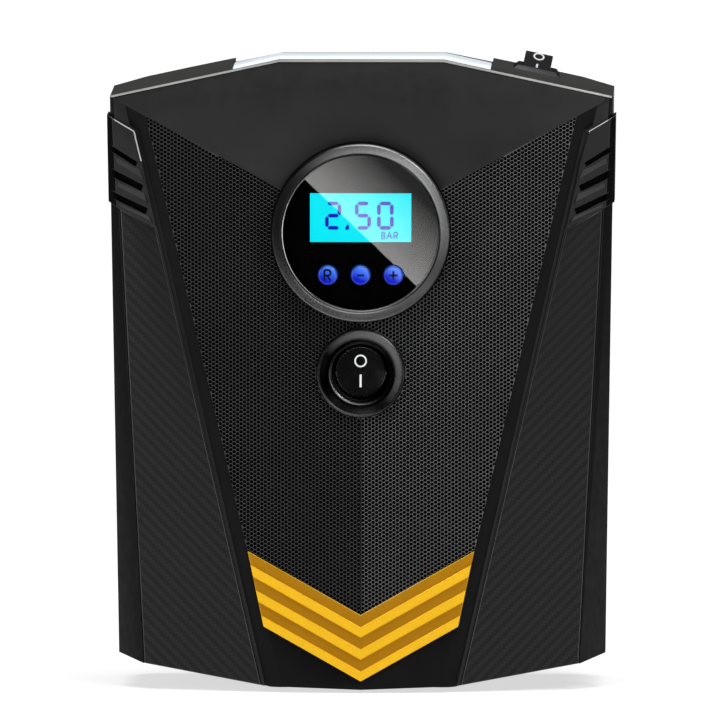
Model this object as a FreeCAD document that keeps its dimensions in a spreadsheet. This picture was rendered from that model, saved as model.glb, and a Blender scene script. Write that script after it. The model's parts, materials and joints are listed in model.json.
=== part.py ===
import FreeCAD, Part
import math
import os
import re

import Sketcher
from FreeCAD import Placement, Rotation, Vector

# Portable 12 V tyre inflator with a digital gauge, a work light and a rocker switch on its front.
# Frame: +Z up, the front faces -Y, +X to the right, origin on the ground under the middle of the box
# that holds the object. Millimetres. Depths from the front are given as distances in front of Y = 0.

DIMENSIONS = {
    # outline of the body from the front: half widths and heights
    "keel_z": 1.0, "sole_half": 29.3, "sole_z": 1.9, "hip_half": 65.5, "hip_z": 10.0,
    "wall_low_half": 72.9, "wall_low_z": 13.5, "wall_top_half": 75.5, "wall_top_z": 178.9,
    "top_half": 24.75, "top_z": 189.9, "top_slope": 0.21675,
    # facets of the front: the apex behind the gauge and the slopes of the planes that meet there
    "apex_front": 36.0, "apex_z": 138.5, "mesh_lean": 0.0963, "shield_lean": 0.18,
    "groove_low_half": 29.3, "groove_low_z": 1.9, "groove_lean": 0.22784,
    "groove_top_z": 168.9, "shoulder_z": 176.0,
    # where outlines that run past the body end: half width, low and high
    "past_half": 80.0, "past_low": -5.0, "past_high": 200.0,
    "side_lean": 0.30, "side_drop": 1.0,
    "strip_low_half": 65.4, "strip_low_z": 10.8, "strip_shift": 0.05345, "strip_lean": 1.73,
    # back of the body
    "back": 39.4, "back_chamfer": 9.5, "back_chamfer_deep": 12.0, "back_top_chamfer": 6.0,
    # walls and inlays
    "wall": 2.6, "front_wall": 4.2, "panel_thick": 2.2, "inlay_thick": 1.2, "mesh_thick": 0.8,
    "parting": -2.0, "groove_half": 0.6, "seam": 0.15, "grip_proud": 0.6, "grip_deep": 1.4,
    "grip_back": -6.0, "slot_deep": 1.5, "side_low": -3.0, "side_low_step": 0.8,
    "pillar_front_inset": 1.5, "pillar_wall_inset": 1.0, "pillar_rear_inset": 0.5,
    # border band of the front panel, beside the mesh
    "band_low_half": 33.45, "band_low_z": 42.25, "band_shift": 0.2384, "band_lean": 0.4,
    # chevrons below the mesh
    "chevron_z": 23.5, "chevron_pitch": 6.667, "chevron_dark": 3.7, "chevron_lean": 0.559,
    "chevron_end": 34.0, "chevron_end_shift": 0.24, "chevron_proud": 1.2, "chevron_step": 0.1,
    # silver trim along the top front edge, and the work light behind it
    "trim_tall": 0.6, "trim_deep": 1.2, "trim_proud": 0.3,
    "channel_deep": 1.3, "channel_half": 38.9, "channel_front": -23.5,
    "light_half": 38.7, "light_front": -18.0, "light_rear": 8.0, "light_rise": 0.3,
    "lens_thick": 0.8, "light_rim": 3.5, "light_gap": 1.7,
    "board_z": 183.5, "board_thick": 1.2, "board_half": 22.0, "led_side": 5.0, "led_tall": 1.6,
    "led_pitch": 7.4, "leg_half": 20.0,
    "leg_wide": 2.0, "slot_play": 0.2,
    # gauge
    "gauge_z": 138.6, "gauge_front": 39.4, "ring_radius": 26.7, "ring_hole": 27.0,
    "ring_back": 28.0, "glass_radius": 23.2, "glass_front": 38.2, "glass_thick": 1.6,
    "mask_thick": 0.8, "lcd_half_wide": 15.2, "lcd_half_tall": 7.35, "lcd_rise": 4.5,
    "lcd_thick": 3.0, "cup_radius": 24.6, "cup_back": 16.0, "cup_wall": 1.4,
    "cup_flange": 30.5, "cup_flange_thick": 1.6, "cup_front": 35.7, "cup_floor": 1.6,
    "flange_play": 0.5, "gauge_seat": 5.0, "pcb_radius": 22.5, "pcb_front": 31.2,
    "pcb_thick": 1.6, "button_radius": 3.0, "button_hole": 3.2, "button_pitch": 9.85,
    "button_drop": 12.7, "button_front": 38.5, "button_edge": 0.4, "button_flange": 3.8,
    "button_back": 34.8, "button_shoulder": 35.5, "tact_side": 6.0, "tact_front": 33.8,
    "plunger_radius": 1.7, "plunger_tall": 0.6, "plunger_rise": 0.5,
    # main switch
    "switch_z": 96.25, "collar_radius": 13.2, "collar_hole": 13.4, "collar_front": 37.2,
    "collar_floor": 34.9, "collar_back": 28.0, "collar_flange": 15.5, "barrel_radius": 9.4,
    "bezel_radius": 9.75, "bezel_front": 36.6, "barrel_bore": 8.6, "barrel_back": 18.0,
    "barrel_floor": 28.5, "rocker_radius": 7.5, "rocker_pivot": 32.5, "rocker_rise": 5.0,
    "rocker_dish": 0.9, "rocker_tilt": 8.0, "rocker_tail": 2.2, "pivot_radius": 1.0,
    "pivot_play": 0.06, "pivot_reach": 0.4, "blade_pitch": 5.2, "blade_thick": 0.8,
    "blade_wide": 6.3, "blade_long": 8.0,
    # light switch, on the right top slope
    "lamp_switch_x": 51.9, "lamp_switch_y": 20.0, "slope_angle": 12.23, "lamp_bezel_wide": 15.0,
    "lamp_bezel_long": 21.0, "lamp_bezel_tall": 2.3, "lamp_body_wide": 12.6,
    "lamp_body_long": 18.6, "lamp_body_deep": 13.0, "lamp_bore_wide": 8.9, "lamp_bore_long": 15.0,
    "lamp_cap_wide": 8.4, "lamp_cap_radius": 7.2, "lamp_pivot_z": 0.4, "lamp_cap_mid": 2.1,
    "lamp_rear_lean": 0.554, "lamp_front_lean": 0.194, "lamp_pin": 0.9,
    "lamp_bezel_edge": 0.6, "lamp_hole_play": 0.3, "lamp_cap_low": -3.0,
    "lamp_blade_long": 6.0, "lamp_blade_half": 2.4, "lamp_blade_in": 4.6, "lamp_blade_out": 5.4,
    # fasteners and feet
    "screw_radius": 1.5, "screw_head": 2.9, "screw_seat": 4.0, "screw_tip": -14.0,
    "screw_head_tall": 2.4, "screw_play": 0.2, "head_play": 0.3,
    "pillar_radius": 4.2, "foot_radius": 5.0, "foot_tall": 3.0, "foot_x": 24.0,
    "foot_front_y": -9.0, "foot_rear_y": 30.0, "foot_play": 0.2,
    # upright cooling slots in the back, behind the motor and behind the cylinder
    "vent_wide": 2.4, "vent_pitch": 5.5, "vent_tall": 30.0, "vent_count": 9, "vent_front": 34.0,
    "motor_vent_x": 32.0, "motor_vent_z": 24.0, "pump_vent_x": -12.0, "pump_vent_z": 120.0,
    # gland for the supply cord and outlet for the air hose, in round recesses of the back
    "port_recess": 13.0, "port_floor": 32.0, "port_hole": 5.0, "port_front": 20.0,
    "port_lip": 2.0,
    "gland_x": -45.0, "gland_z": 28.0, "gland_bore": 2.8,
    "outlet_x": -52.0, "outlet_z": 111.0, "outlet_bore": 2.0, "nose_radius": 4.8,
    "barb_radius": 2.6,
    "hose_radius": 4.4, "hose_bend": 7.0,
    # pump: motor, gears, crank and cylinder
    "pump_y": 12.0, "motor_z": 34.0, "motor_radius": 18.0, "motor_front": 6.0, "motor_rear": 54.0,
    "can_wall": 1.2, "can_floor": 1.5, "cap_thick": 3.0, "shaft_radius": 1.6,
    "core_radius": 11.6, "bush_radius": 3.2, "bush_long": 3.0, "rotor_left": -6.0,
    "core_left": 16.0, "core_right": 44.0, "neck_radius": 3.0, "commutator_left": 46.5,
    "commutator_right": 52.0, "commutator_radius": 5.0, "shaft_right": 56.5,
    "magnet_left": 14.0, "magnet_long": 32.0, "magnet_play": 0.05, "air_gap": 0.6,
    "brush_left": 47.5, "brush_wide": 4.0, "brush_long": 5.8, "brush_gap": 5.2,
    "motor_screw_y": 12.5, "bolt_head": 2.7, "bolt_head_tall": 2.0,
    "gear_module": 0.8, "gear_teeth": 54, "pinion_teeth": 12, "gear_right": 1.0,
    "gear_left": -5.0, "pinion_long": 8.0, "tooth_play": 0.16, "pressure_angle": 20.0,
    "tip_share": 0.95, "root_share": 1.2, "web_hole": 4.0, "web_hole_spot": 13.5,
    "axle_radius": 2.5, "running_play": 0.05, "crank_radius": 6.5, "weight_thick": 2.5,
    "weight_radius": 17.0, "weight_hub": 9.5, "weight_arc": 150.0, "crank_seat": 3.4,
    "axle_left": -8.4, "axle_head": 3.6, "axle_head_tall": 0.6, "pin_left": -16.2,
    "pin_head_tall": 1.2, "pin_right": -8.7, "bearing_long": 4.0,
    "plate_left": 3.5, "cylinder_x": -12.1, "rod_half": 2.5, "rod_wide": 7.0, "big_end": 7.2,
    "big_end_bore": 4.5, "piston_low_z": 97.6, "piston_tall": 3.8, "piston_radius": 9.3,
    "bore_radius": 10.0, "deck_z": 86.5, "deck_thick": 2.5, "head_z": 104.0, "head_tall": 12.5,
    "head_half": 15.0, "head_screw": 12.2, "head_floor": 3.0, "head_roof": 9.5,
    "chamber_radius": 4.0, "inlet_radius": 1.5, "barb_bore": 1.3, "barb_long": 9.3,
    "fin_slot": 1.4, "fin_deep": 7.0, "cylinder_wall": 2.2, "cylinder_foot": 4.0,
    "cylinder_foot_tall": 2.5, "flange_thick": 3.0, "seal_play": 0.07, "seal_thick": 1.2,
    "seal_step": 0.8, "poppet_radius": 3.2, "stem_radius": 1.0, "spring_inner": 1.5,
    "spring_outer": 2.5, "mount_radius": 5.0, "mount_y": 22.0, "fold_thick": 2.5,
}

NODES = {}

doc = FreeCAD.newDocument("tyre_inflator")
sheet = doc.addObject("Spreadsheet::Sheet", "Dims")
for row, (alias, number) in enumerate(DIMENSIONS.items(), start=1):
    sheet.set(f"A{row}", alias)
    sheet.set(f"B{row}", str(number))
    sheet.setAlias(f"B{row}", alias)
doc.recompute()


# ---------------------------------------------------------------- sheet, sketches and features

def size(expression):
    """The value of an expression written with the sheet's names."""
    return float(sheet.evalExpression(str(expression)))


def bind(item, prop, expression):
    """Bind a property to an expression written with the sheet's names."""
    item.setExpression(prop, re.sub(r"[a-z][a-z_]*[a-z]", r"Dims.\g<0>", str(expression)))


def place(item, spot, turn=None):
    """Put an object at a spot given as three expressions, turned by a rotation."""
    item.Placement = Placement(Vector(*[size(part) for part in spot]), turn or Rotation())
    for axis, expression in zip("xyz", spot):
        bind(item, f"Placement.Base.{axis}", expression)


def new_body(node, spot=("0", "0", "0"), turn=None):
    body = doc.addObject("PartDesign::Body", node)
    body.Label = node
    NODES[node] = body
    place(body, spot, turn)
    return body


def new_sketch(body, plane, offset="0"):
    """A sketch on one of the body's origin planes, moved along the plane's normal."""
    sketch = body.newObject("Sketcher::SketchObject", "Sketch")
    support = next(item for item in body.Origin.OriginFeatures if item.Role == plane + "_Plane")
    sketch.AttachmentSupport = [(support, "")]
    sketch.MapMode = "FlatFace"
    bind(sketch, "AttachmentOffset.Base.z", offset)
    return sketch


def pin_point(sketch, item, end, across, up):
    """Hold a point of the sketch at a place given by two expressions."""
    for kind, axis, expression in (("DistanceX", -2, across), ("DistanceY", -1, up)):
        if str(expression) == "0":
            sketch.addConstraint(Sketcher.Constraint("PointOnObject", item, end, axis))
        else:
            rule = Sketcher.Constraint(kind, item, end, size(expression))
            number = sketch.addConstraint(rule)
            bind(sketch, f"Constraints[{number}]", expression)


def draw_outline(sketch, points):
    """A closed outline of straight sides through points given as pairs of expressions."""
    first = sketch.GeometryCount
    spots = [Vector(size(across), size(up), 0) for across, up in points]
    for start, end in zip(spots, spots[1:] + spots[:1]):
        sketch.addGeometry(Part.LineSegment(start, end))
    for step, (across, up) in enumerate(points):
        following = first + (step + 1) % len(points)
        sketch.addConstraint(Sketcher.Constraint("Coincident", first + step, 2, following, 1))
        pin_point(sketch, first + step, 1, across, up)


def draw_circle(sketch, across, up, radius):
    spot = Vector(size(across), size(up), 0)
    item = sketch.addGeometry(Part.Circle(spot, Vector(0, 0, 1), size(radius)))
    pin_point(sketch, item, 3, across, up)
    number = sketch.addConstraint(Sketcher.Constraint("Radius", item, size(radius)))
    bind(sketch, f"Constraints[{number}]", radius)


def add_feature(body, kind, sketch, length):
    feature = body.newObject("PartDesign::" + kind, kind)
    feature.Profile = sketch
    bind(feature, "Length", length)
    return feature


def draw_shapes(body, plane, offset, outlines, circles):
    sketch = new_sketch(body, plane, offset)
    for points in outlines:
        draw_outline(sketch, points)
    for across, up, radius in circles:
        draw_circle(sketch, across, up, radius)
    return sketch


def pad(body, plane, offset, length, outlines=(), circles=()):
    """Add material along the plane's normal; inner outlines and circles stay open."""
    return add_feature(body, "Pad", draw_shapes(body, plane, offset, outlines, circles), length)


def pocket(body, plane, offset, length, outlines=(), circles=()):
    """Cut material against the plane's normal, and make sure that something was cut."""
    doc.recompute()
    before = body.Shape.Volume
    sketch = draw_shapes(body, plane, offset, outlines, circles)
    feature = add_feature(body, "Pocket", sketch, length)
    doc.recompute()
    if body.Shape.Volume > before - 0.01:
        raise RuntimeError(f"a pocket of {body.Label} cuts nothing")
    return feature


def revolve(body, plane, axis, points):
    sketch = new_sketch(body, plane)
    draw_outline(sketch, points)
    feature = body.newObject("PartDesign::Revolution", "Revolution")
    feature.Profile = sketch
    feature.ReferenceAxis = (sketch, [axis])
    feature.Angle = 360
    return feature


def turned_x(node, points, spot):
    """A turned piece about X: points are (x, radius)."""
    body = new_body(node, spot)
    revolve(body, "XY", "H_Axis", points)
    return body


def turned_y(node, points, spot):
    """A turned piece about Y: points are (radius, y)."""
    body = new_body(node, spot)
    revolve(body, "XY", "V_Axis", points)
    return body


def turned_z(node, points, spot):
    """A turned piece about Z: points are (radius, z)."""
    body = new_body(node, spot)
    revolve(body, "XZ", "V_Axis", points)
    return body


def rectangle(left, low, right, high):
    return [(left, low), (right, low), (right, high), (left, high)]


def box(name, corner, sides):
    item = doc.addObject("Part::Box", name)
    for prop, expression in zip(("Length", "Width", "Height"), sides):
        bind(item, prop, expression)
    place(item, corner)
    return item


ALONG = {
    "X": Rotation(Vector(0, 1, 0), 90),
    "Y": Rotation(Vector(1, 0, 0), -90),
    "Z": Rotation(),
}


def rod(name, axis, start, radius, length):
    """A round bar from its start point along a row axis."""
    item = doc.addObject("Part::Cylinder", name)
    bind(item, "Radius", radius)
    bind(item, "Height", length)
    place(item, start, ALONG[axis])
    return item


def fuse(name, items):
    joined = doc.addObject("Part::MultiFuse", name)
    joined.Shapes = items
    return joined


def cut(name, base, tool):
    item = doc.addObject("Part::Cut", name)
    item.Base = base
    item.Tool = tool
    return item


def group(node, items):
    """Several separate solids of one kind as one node."""
    item = doc.addObject("Part::Compound", node)
    item.Links = items
    item.Label = node
    NODES[node] = item
    return item


def keep(node, item):
    item.Label = node
    NODES[node] = item
    return item


def feature(node, shape):
    """A sub-part whose faceted or swept shape comes from Part's own functions."""
    item = doc.addObject("Part::Feature", node)
    item.Shape = shape
    item.Placement = Placement()
    return keep(node, item)


# ---------------------------------------------------------------- the faceted outer form

SPAN = 400.0


def half_space(point, normal):
    """A large block behind the plane through a point; the normal points out of it."""
    block = Part.makeBox(SPAN, SPAN, SPAN, Vector(-SPAN / 2, -SPAN / 2, -SPAN))
    block.Placement = Placement(point, Rotation(Vector(0, 0, 1), normal))
    return block


def groove_x(height):
    """Half width of the groove beside the front panel at a height."""
    return size("groove_low_half") + size("groove_lean") * (height - size("groove_low_z"))


def band_x(height):
    """Half width of the mesh, where the border band starts, at a height."""
    return size("band_low_half") + size("band_shift") * (height - size("band_low_z"))


def outline_planes():
    """Planes square to the front, for the outline: name, point and normal on the right side."""
    corners = [("sole", "0", "keel_z"), ("hip", "sole_half", "sole_z"),
               ("corner", "hip_half", "hip_z"), ("wall", "wall_low_half", "wall_low_z"),
               ("slope", "wall_top_half", "wall_top_z"), ("top", "top_half", "top_z"),
               ("", "0", "top_z")]
    planes = {}
    for (name, x1, z1), (_, x2, z2) in zip(corners, corners[1:]):
        step = Vector(size(x2) - size(x1), 0, size(z2) - size(z1))
        planes[name] = (Vector(size(x1), 0, size(z1)), Vector(step.z, 0, -step.x))
    return planes


def front_planes():
    apex = Vector(0, -size("apex_front"), size("apex_z"))
    lean = size("mesh_lean")
    side = size("side_lean")
    side_rise = (lean - side) * size("groove_lean")
    side_point = Vector(size("groove_low_half"),
                        apex.y + lean * size("groove_low_half") + size("side_drop"),
                        size("groove_low_z"))
    strip = size("strip_lean")
    strip_point = Vector(size("strip_low_half"), 0, size("strip_low_z"))
    strip_point.y = (side_point.y + side * (strip_point.x - side_point.x)
                     + side_rise * (strip_point.z - side_point.z))
    strip_rise = side_rise + (side - strip) * size("strip_shift")
    return {
        "mesh": (apex, Vector(lean, -1, 0)),
        "shield": (apex, Vector(0, -1, size("shield_lean"))),
        "side": (side_point, Vector(side, -1, side_rise)),
        "strip": (strip_point, Vector(strip, -1, strip_rise)),
    }


def back_planes():
    back = size("back")
    chamfer = size("back_chamfer")
    deep = size("back_chamfer_deep")
    small = size("back_top_chamfer")
    return {
        "back": (Vector(0, back, 0), Vector(0, 1, 0)),
        "back_side": (Vector(size("wall_top_half") - chamfer, back, 0), Vector(deep, chamfer, 0)),
        "back_top": (Vector(0, back, size("top_z") - small), Vector(0, 1, 1)),
        "back_sole": (Vector(0, back, size("keel_z") + small), Vector(0, 1, -1)),
    }


PLANES = {**outline_planes(), **front_planes(), **back_planes()}
FRONT_NAMES = ("mesh", "shield", "side")


def form(front_inset=0.0, wall_inset=0.0, skip=()):
    """The convex outer form, with its front planes and its other planes moved inwards."""
    solid = Part.makeBox(SPAN, SPAN, SPAN, Vector(-SPAN / 2, -SPAN / 2, -SPAN / 4))
    for name, (point, normal) in PLANES.items():
        if name in skip:
            continue
        inset = front_inset if name in FRONT_NAMES else wall_inset
        for hand in (1, -1):
            out = Vector(hand * normal.x, normal.y, normal.z).normalize()
            spot = Vector(hand * point.x, point.y, point.z) - out * inset
            solid = solid.common(half_space(spot, out))
    return solid


def prism(points, front=-60.0, rear=60.0, hand=1):
    """An outline seen from the front, as (x, z) points, run from front to rear."""
    spots = [Vector(hand * x, front, z) for x, z in points]
    face = Part.Face(Part.makePolygon(spots + spots[:1]))
    return face.extrude(Vector(0, rear - front, 0))


def bar_y(x, z, radius, front, rear):
    return Part.makeCylinder(radius, rear - front, Vector(x, front, z), Vector(0, 1, 0))


def top_z_at(x):
    return size("top_z") - max(0.0, abs(x) - size("top_half")) * size("top_slope")


def top_band(half, low, high, front, rear):
    """A band that follows the flat top and both slopes, between two heights above them."""
    crest = [half, size("top_half"), -size("top_half"), -half]
    upper = [(x, top_z_at(x) + high) for x in crest]
    lower = [(x, top_z_at(x) + low) for x in reversed(crest)]
    return prism(upper + lower, front, rear)


# ---------------------------------------------------------------- shells, panel and inlays

def panel_outline(gap):
    """Right half of the front panel, kept a gap inside the middle of the groove."""
    low = size("past_low")
    high = size("past_high")
    past = size("past_half")
    turn_z = size("groove_top_z")
    return [(0, low), (groove_x(low) - gap, low), (groove_x(turn_z) - gap, turn_z),
            (past, size("shoulder_z")), (past, high), (0, high)]


def mesh_outline():
    rise = size("mesh_lean / shield_lean")
    top = (size("apex_z") - size("band_low_z")) * size("band_shift") + size("band_low_half")
    corner_x = top / (1 - size("band_shift") * rise)
    corner_z = size("apex_z") + rise * corner_x
    end = size("chevron_end")
    return [(0, size("apex_z")), (corner_x, corner_z), (end, size("band_low_z")),
            (0, size("chevron_z"))]


def band_outline():
    rise = size("mesh_lean / shield_lean")
    low = size("past_low")
    past = size("past_half")
    turn_z = size("groove_top_z")
    return [(band_x(low), low), (groove_x(low), low), (groove_x(turn_z), turn_z),
            (past, size("shoulder_z")), (past, size("apex_z") + rise * past), mesh_outline()[1]]


def chevron_end_x(centre_z):
    return size("chevron_end") - size("chevron_end_shift") * (size("chevron_z") - centre_z)


def chevron_band(top, bottom):
    """A whole chevron between two heights on the centre line."""
    lean = size("chevron_lean")
    upper = chevron_end_x(top)
    lower = chevron_end_x(bottom)
    return [(0, top), (upper, top + lean * upper), (lower, bottom + lean * lower), (0, bottom),
            (-lower, bottom + lean * lower), (-upper, top + lean * upper)]


GRIP_OUTLINE = [(80.0, 175.45), (68.4, 168.85), (68.1, 168.1), (65.6, 159.3), (64.4, 152.4),
                (63.3, 147.4), (61.7, 139.6), (80.0, 149.4)]
GRIP_SLOTS = [
    [(74.2, 163.9), (66.8, 159.3), (67.5, 157.9), (72.7, 161.2)],
    [(73.8, 156.8), (65.2, 152.4), (65.8, 150.5), (72.8, 153.9)],
    [(73.4, 149.9), (63.9, 145.4), (64.6, 143.5), (72.3, 147.3)],
]
SIDE_TOP = [(61.55, 139.2), (72.45, 145.0)]


def side_outline(gap):
    """Right side panel between the groove and the bevelled strip, kept inside by a gap."""
    edge = size("groove_half") + gap
    low = size("side_low")
    strip = size("strip_low_half") - gap
    return [(groove_x(low) + edge, low), (SIDE_TOP[0][0] + gap, SIDE_TOP[0][1] - gap),
            (SIDE_TOP[1][0] - gap, SIDE_TOP[1][1] - gap),
            (strip, size("strip_low_z")), (strip - size("side_low_step"), low)]


SCREW_SPOTS = [(hand * x, z) for hand in (1, -1) for x, z in ((64.0, 166.0), (65.0, 92.0),
                                                              (64.0, 21.0))]
panel_form = form(skip=("side",))
panel_floor = form(size("panel_thick"), 0.0, skip=("side",))
skin = form()
side_floor = form(size("inlay_thick"))
mesh_floor = form(size("mesh_thick"), 0.0, skip=("side",))
grip_skin = form(-size("grip_proud"), -size("grip_proud"))
grip_floor = form(size("grip_deep"), size("grip_deep"))
cavity = form(size("front_wall"), size("wall"))
FEET = [(hand * size("foot_x"), size(y)) for hand in (1, -1)
        for y in ("foot_front_y", "foot_rear_y")]


def split_skin(front):
    """The hollow skin in front of or behind the parting plane."""
    parting = size("parting")
    low = -60.0 if front else parting
    high = parting if front else 60.0
    slab = Part.makeBox(200, high - low, 260, Vector(-100, low, -20))
    return skin.cut(cavity).common(slab), slab


def light_openings():
    front = size("light_front + light_gap")
    rear = size("light_rear - light_gap")
    opening = top_band(size("light_half - light_gap"), -20, 5, front, rear)
    channel = top_band(size("channel_half"), -size("channel_deep"), 8, size("channel_front"), 60)
    return [opening, channel]


def lamp_frame():
    """Where the light switch sits: origin on the slope, local Z along the slope's normal."""
    x = size("lamp_switch_x")
    return Placement(Vector(x, size("lamp_switch_y"), top_z_at(x)),
                     Rotation(Vector(0, 1, 0), size("slope_angle")))


def lamp_hole():
    wide = size("lamp_body_wide + lamp_hole_play")
    long_side = size("lamp_body_long + lamp_hole_play")
    hole = Part.makeBox(wide, long_side, 30, Vector(-wide / 2, -long_side / 2, -20))
    hole.Placement = lamp_frame()
    return hole


def foot_holes():
    radius = size("foot_radius + foot_play")
    low = size("past_low")
    return [Part.makeCylinder(radius, size("foot_tall") - low, Vector(x, y, low)) for x, y in FEET]


def face_holes():
    """Round openings of the panel and the mesh behind the gauge ring and the switch collar."""
    seat = -size("gauge_seat")
    return [bar_y(0, size("gauge_z"), size("ring_hole"), -60, seat),
            bar_y(0, size("switch_z"), size("collar_hole"), -60, seat)]


def front_shell():
    shell, slab = split_skin(True)
    bosses = [bar_y(x, z, size("pillar_radius"), -40, size("parting")) for x, z in SCREW_SPOTS]
    inside = form(size("pillar_front_inset"), size("pillar_wall_inset"))
    shell = shell.multiFuse([boss.common(inside) for boss in bosses])
    tools = [bar_y(x, z, size("screw_radius"), size("screw_tip"), 0) for x, z in SCREW_SPOTS]
    outline = panel_outline(-size("groove_half"))
    for hand in (1, -1):
        tools.append(prism(outline, hand=hand).cut(panel_floor))
        tools.append(prism(side_outline(0), hand=hand).cut(side_floor))
        wrap = prism(GRIP_OUTLINE, rear=size("grip_back"), hand=hand)
        tools.append(wrap.cut(grip_floor))
    flange = size("cup_flange + flange_play")
    tools.append(bar_y(0, size("gauge_z"), flange, -60, -size("gauge_seat")))
    tools += face_holes() + light_openings() + foot_holes()
    return shell.cut(tools).common(slab).removeSplitter()


def rear_shell():
    shell, slab = split_skin(False)
    parting = size("parting")
    back = size("back")
    inset = size("pillar_rear_inset")
    outer = form(inset, inset)
    ports = [("gland_x", "gland_z"), ("outlet_x", "outlet_z")]
    cups = [bar_y(size(x), size(z), size("port_recess + wall"), size("port_floor - wall"), back)
            for x, z in ports]
    pillars = [bar_y(x, z, size("pillar_radius"), parting, back) for x, z in SCREW_SPOTS]
    shell = shell.multiFuse([item.common(outer) for item in cups + pillars])
    tools = []
    for x, z in SCREW_SPOTS:
        seat = size("screw_seat")
        tools.append(bar_y(x, z, size("screw_radius + screw_play"), parting - 1, seat + 1))
        tools.append(bar_y(x, z, size("screw_head + head_play"), seat, back + 1))
    for x, z in ports:
        tools.append(bar_y(size(x), size(z), size("port_recess"), size("port_floor"), back + 1))
        tools.append(bar_y(size(x), size(z), size("port_hole"), size("port_front"), back))
    tools += vents() + light_openings() + foot_holes() + [lamp_hole()]
    return shell.cut(tools).common(slab).removeSplitter()


def vents():
    """Upright slots with round ends."""
    wide = size("vent_wide")
    tall = size("vent_tall")
    front = size("vent_front")
    through = size("back") - front + 1
    count = int(size("vent_count"))
    slots = []
    for name in ("motor_vent", "pump_vent"):
        low = size(name + "_z")
        for step in range(count):
            x = size(name + "_x") + (step - (count - 1) / 2) * size("vent_pitch")
            slots.append(Part.makeBox(wide, through, tall, Vector(x - wide / 2, front, low)))
            for end in (low, low + tall):
                slots.append(bar_y(x, end, wide / 2, front, front + through))
    return slots


def trim_band(gap):
    return top_band(90.0, -size("trim_tall"), gap, -60, 0)


def behind_shield(inset):
    point, normal = PLANES["shield"]
    out = Vector(normal).normalize()
    return half_space(point - out * inset, out)


def top_trim():
    shape = trim_band(0).common(behind_shield(-size("trim_proud")))
    shape = shape.cut(behind_shield(size("trim_deep")))
    return shape.common(form(-1.0, 0.0, skip=("side", "mesh")))


def front_panel():
    shape = panel_form.cut(panel_floor)
    slab = Part.makeBox(200, 60 + size("parting"), 260, Vector(-100, -60, -20))
    outline = panel_outline(size("groove_half"))
    mask = prism(outline).fuse(prism(outline, hand=-1)).removeSplitter()
    shape = shape.common(mask).common(slab)
    point, normal = PLANES["mesh"]
    lean = size("band_lean")
    band_point = Vector(size("band_low_half"), 0, size("band_low_z"))
    band_point.y = point.y + size("mesh_lean") * band_point.x
    tilt = Vector(normal.x + lean, -1, -lean * size("band_shift"))
    tools = [trim_band(5).cut(behind_shield(size("trim_deep")))]
    for hand in (1, -1):
        spot = Vector(hand * band_point.x, band_point.y, band_point.z)
        out = Vector(hand * tilt.x, tilt.y, tilt.z)
        tools.append(prism(band_outline(), hand=hand).cut(half_space(spot, out)))
        tools.append(prism(mesh_outline(), hand=hand).cut(mesh_floor))
    whole = chevron_band(size("chevron_z"), size("chevron_z - 3 * chevron_pitch"))
    tools.append(prism(whole).cut(mesh_floor))
    return shape.cut(tools + face_holes()).removeSplitter()


def mesh_inlay(hand):
    shape = prism(mesh_outline(), hand=hand).common(panel_form).cut(mesh_floor)
    whole = chevron_band(size("chevron_z"), size("chevron_z - 3 * chevron_pitch"))
    return shape.cut(face_holes() + [prism(whole)]).removeSplitter()


def chevron_trim():
    """Three gold ribs, each with a low upper facet and a proud lower facet."""
    proud = form(-size("chevron_proud"), 0.0, skip=("side",))
    low = form(-size("chevron_step"), 0.0, skip=("side",))
    pieces = []
    for step in range(3):
        top = size("chevron_z") - step * size("chevron_pitch")
        line = top - size("chevron_dark")
        bottom = top - size("chevron_pitch")
        pieces.append(prism(chevron_band(top, line)).common(low).cut(mesh_floor))
        pieces.append(prism(chevron_band(line, bottom)).common(proud).cut(mesh_floor))
    return pieces[0].multiFuse(pieces[1:]).removeSplitter()


def side_panel(hand):
    return prism(side_outline(size("seam")), hand=hand).common(skin).cut(side_floor)


def grip(hand):
    wrap = prism(GRIP_OUTLINE, rear=size("grip_back - slot_play"), hand=hand)
    shape = wrap.common(grip_skin).cut(grip_floor)
    slot_floor = form(size("slot_deep - grip_proud"), size("slot_deep - grip_proud"))
    slots = [prism(points, hand=hand).cut(slot_floor) for points in GRIP_SLOTS]
    return shape.cut(slots).removeSplitter()


feature("front_shell", front_shell())
feature("rear_shell", rear_shell())
feature("front_panel", front_panel())
feature("mesh_right", mesh_inlay(1))
feature("mesh_left", mesh_inlay(-1))
feature("chevron_trim", chevron_trim())
feature("side_panel_right", side_panel(1))
feature("side_panel_left", side_panel(-1))
feature("grip_right", grip(1))
feature("grip_left", grip(-1))
feature("top_trim", top_trim())


# ---------------------------------------------------------------- work light

def top_points(half, low, high):
    """The outline of a band on the top, as expressions, for a sketch seen from the front."""
    drop = f"({half} - top_half) * top_slope"
    return [(f"-{half}", f"top_z + {low} - {drop}"), ("-top_half", f"top_z + {low}"),
            ("top_half", f"top_z + {low}"), (half, f"top_z + {low} - {drop}"),
            (half, f"top_z + {high} - {drop}"), ("top_half", f"top_z + {high}"),
            ("-top_half", f"top_z + {high}"), (f"-{half}", f"top_z + {high} - {drop}")]


def light_bezel():
    body = new_body("light_bezel")
    rim = "light_rim"
    pad(body, "XZ", "-(light_rear + 0.5)", "light_rear - light_front + 1",
        [top_points("light_half", "(-channel_deep)", "light_rise")])
    pocket(body, "XY", "top_z + 10", "40",
           [rectangle(f"-(light_half - {rim})", f"light_front + {rim}",
                      f"light_half - {rim}", f"light_rear - {rim}")])
    for hand in ("", "-"):
        low, high = sorted((f"{hand}leg_half", f"{hand}(leg_half + leg_wide)"), key=size)
        for front, rear in (("light_front + light_gap + slot_play", f"light_front + {rim}"),
                            (f"light_rear - {rim}", "light_rear - light_gap - slot_play")):
            pad(body, "XY", "board_z + board_thick", "top_z - board_z - board_thick",
                [rectangle(low, front, high, rear)])


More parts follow.
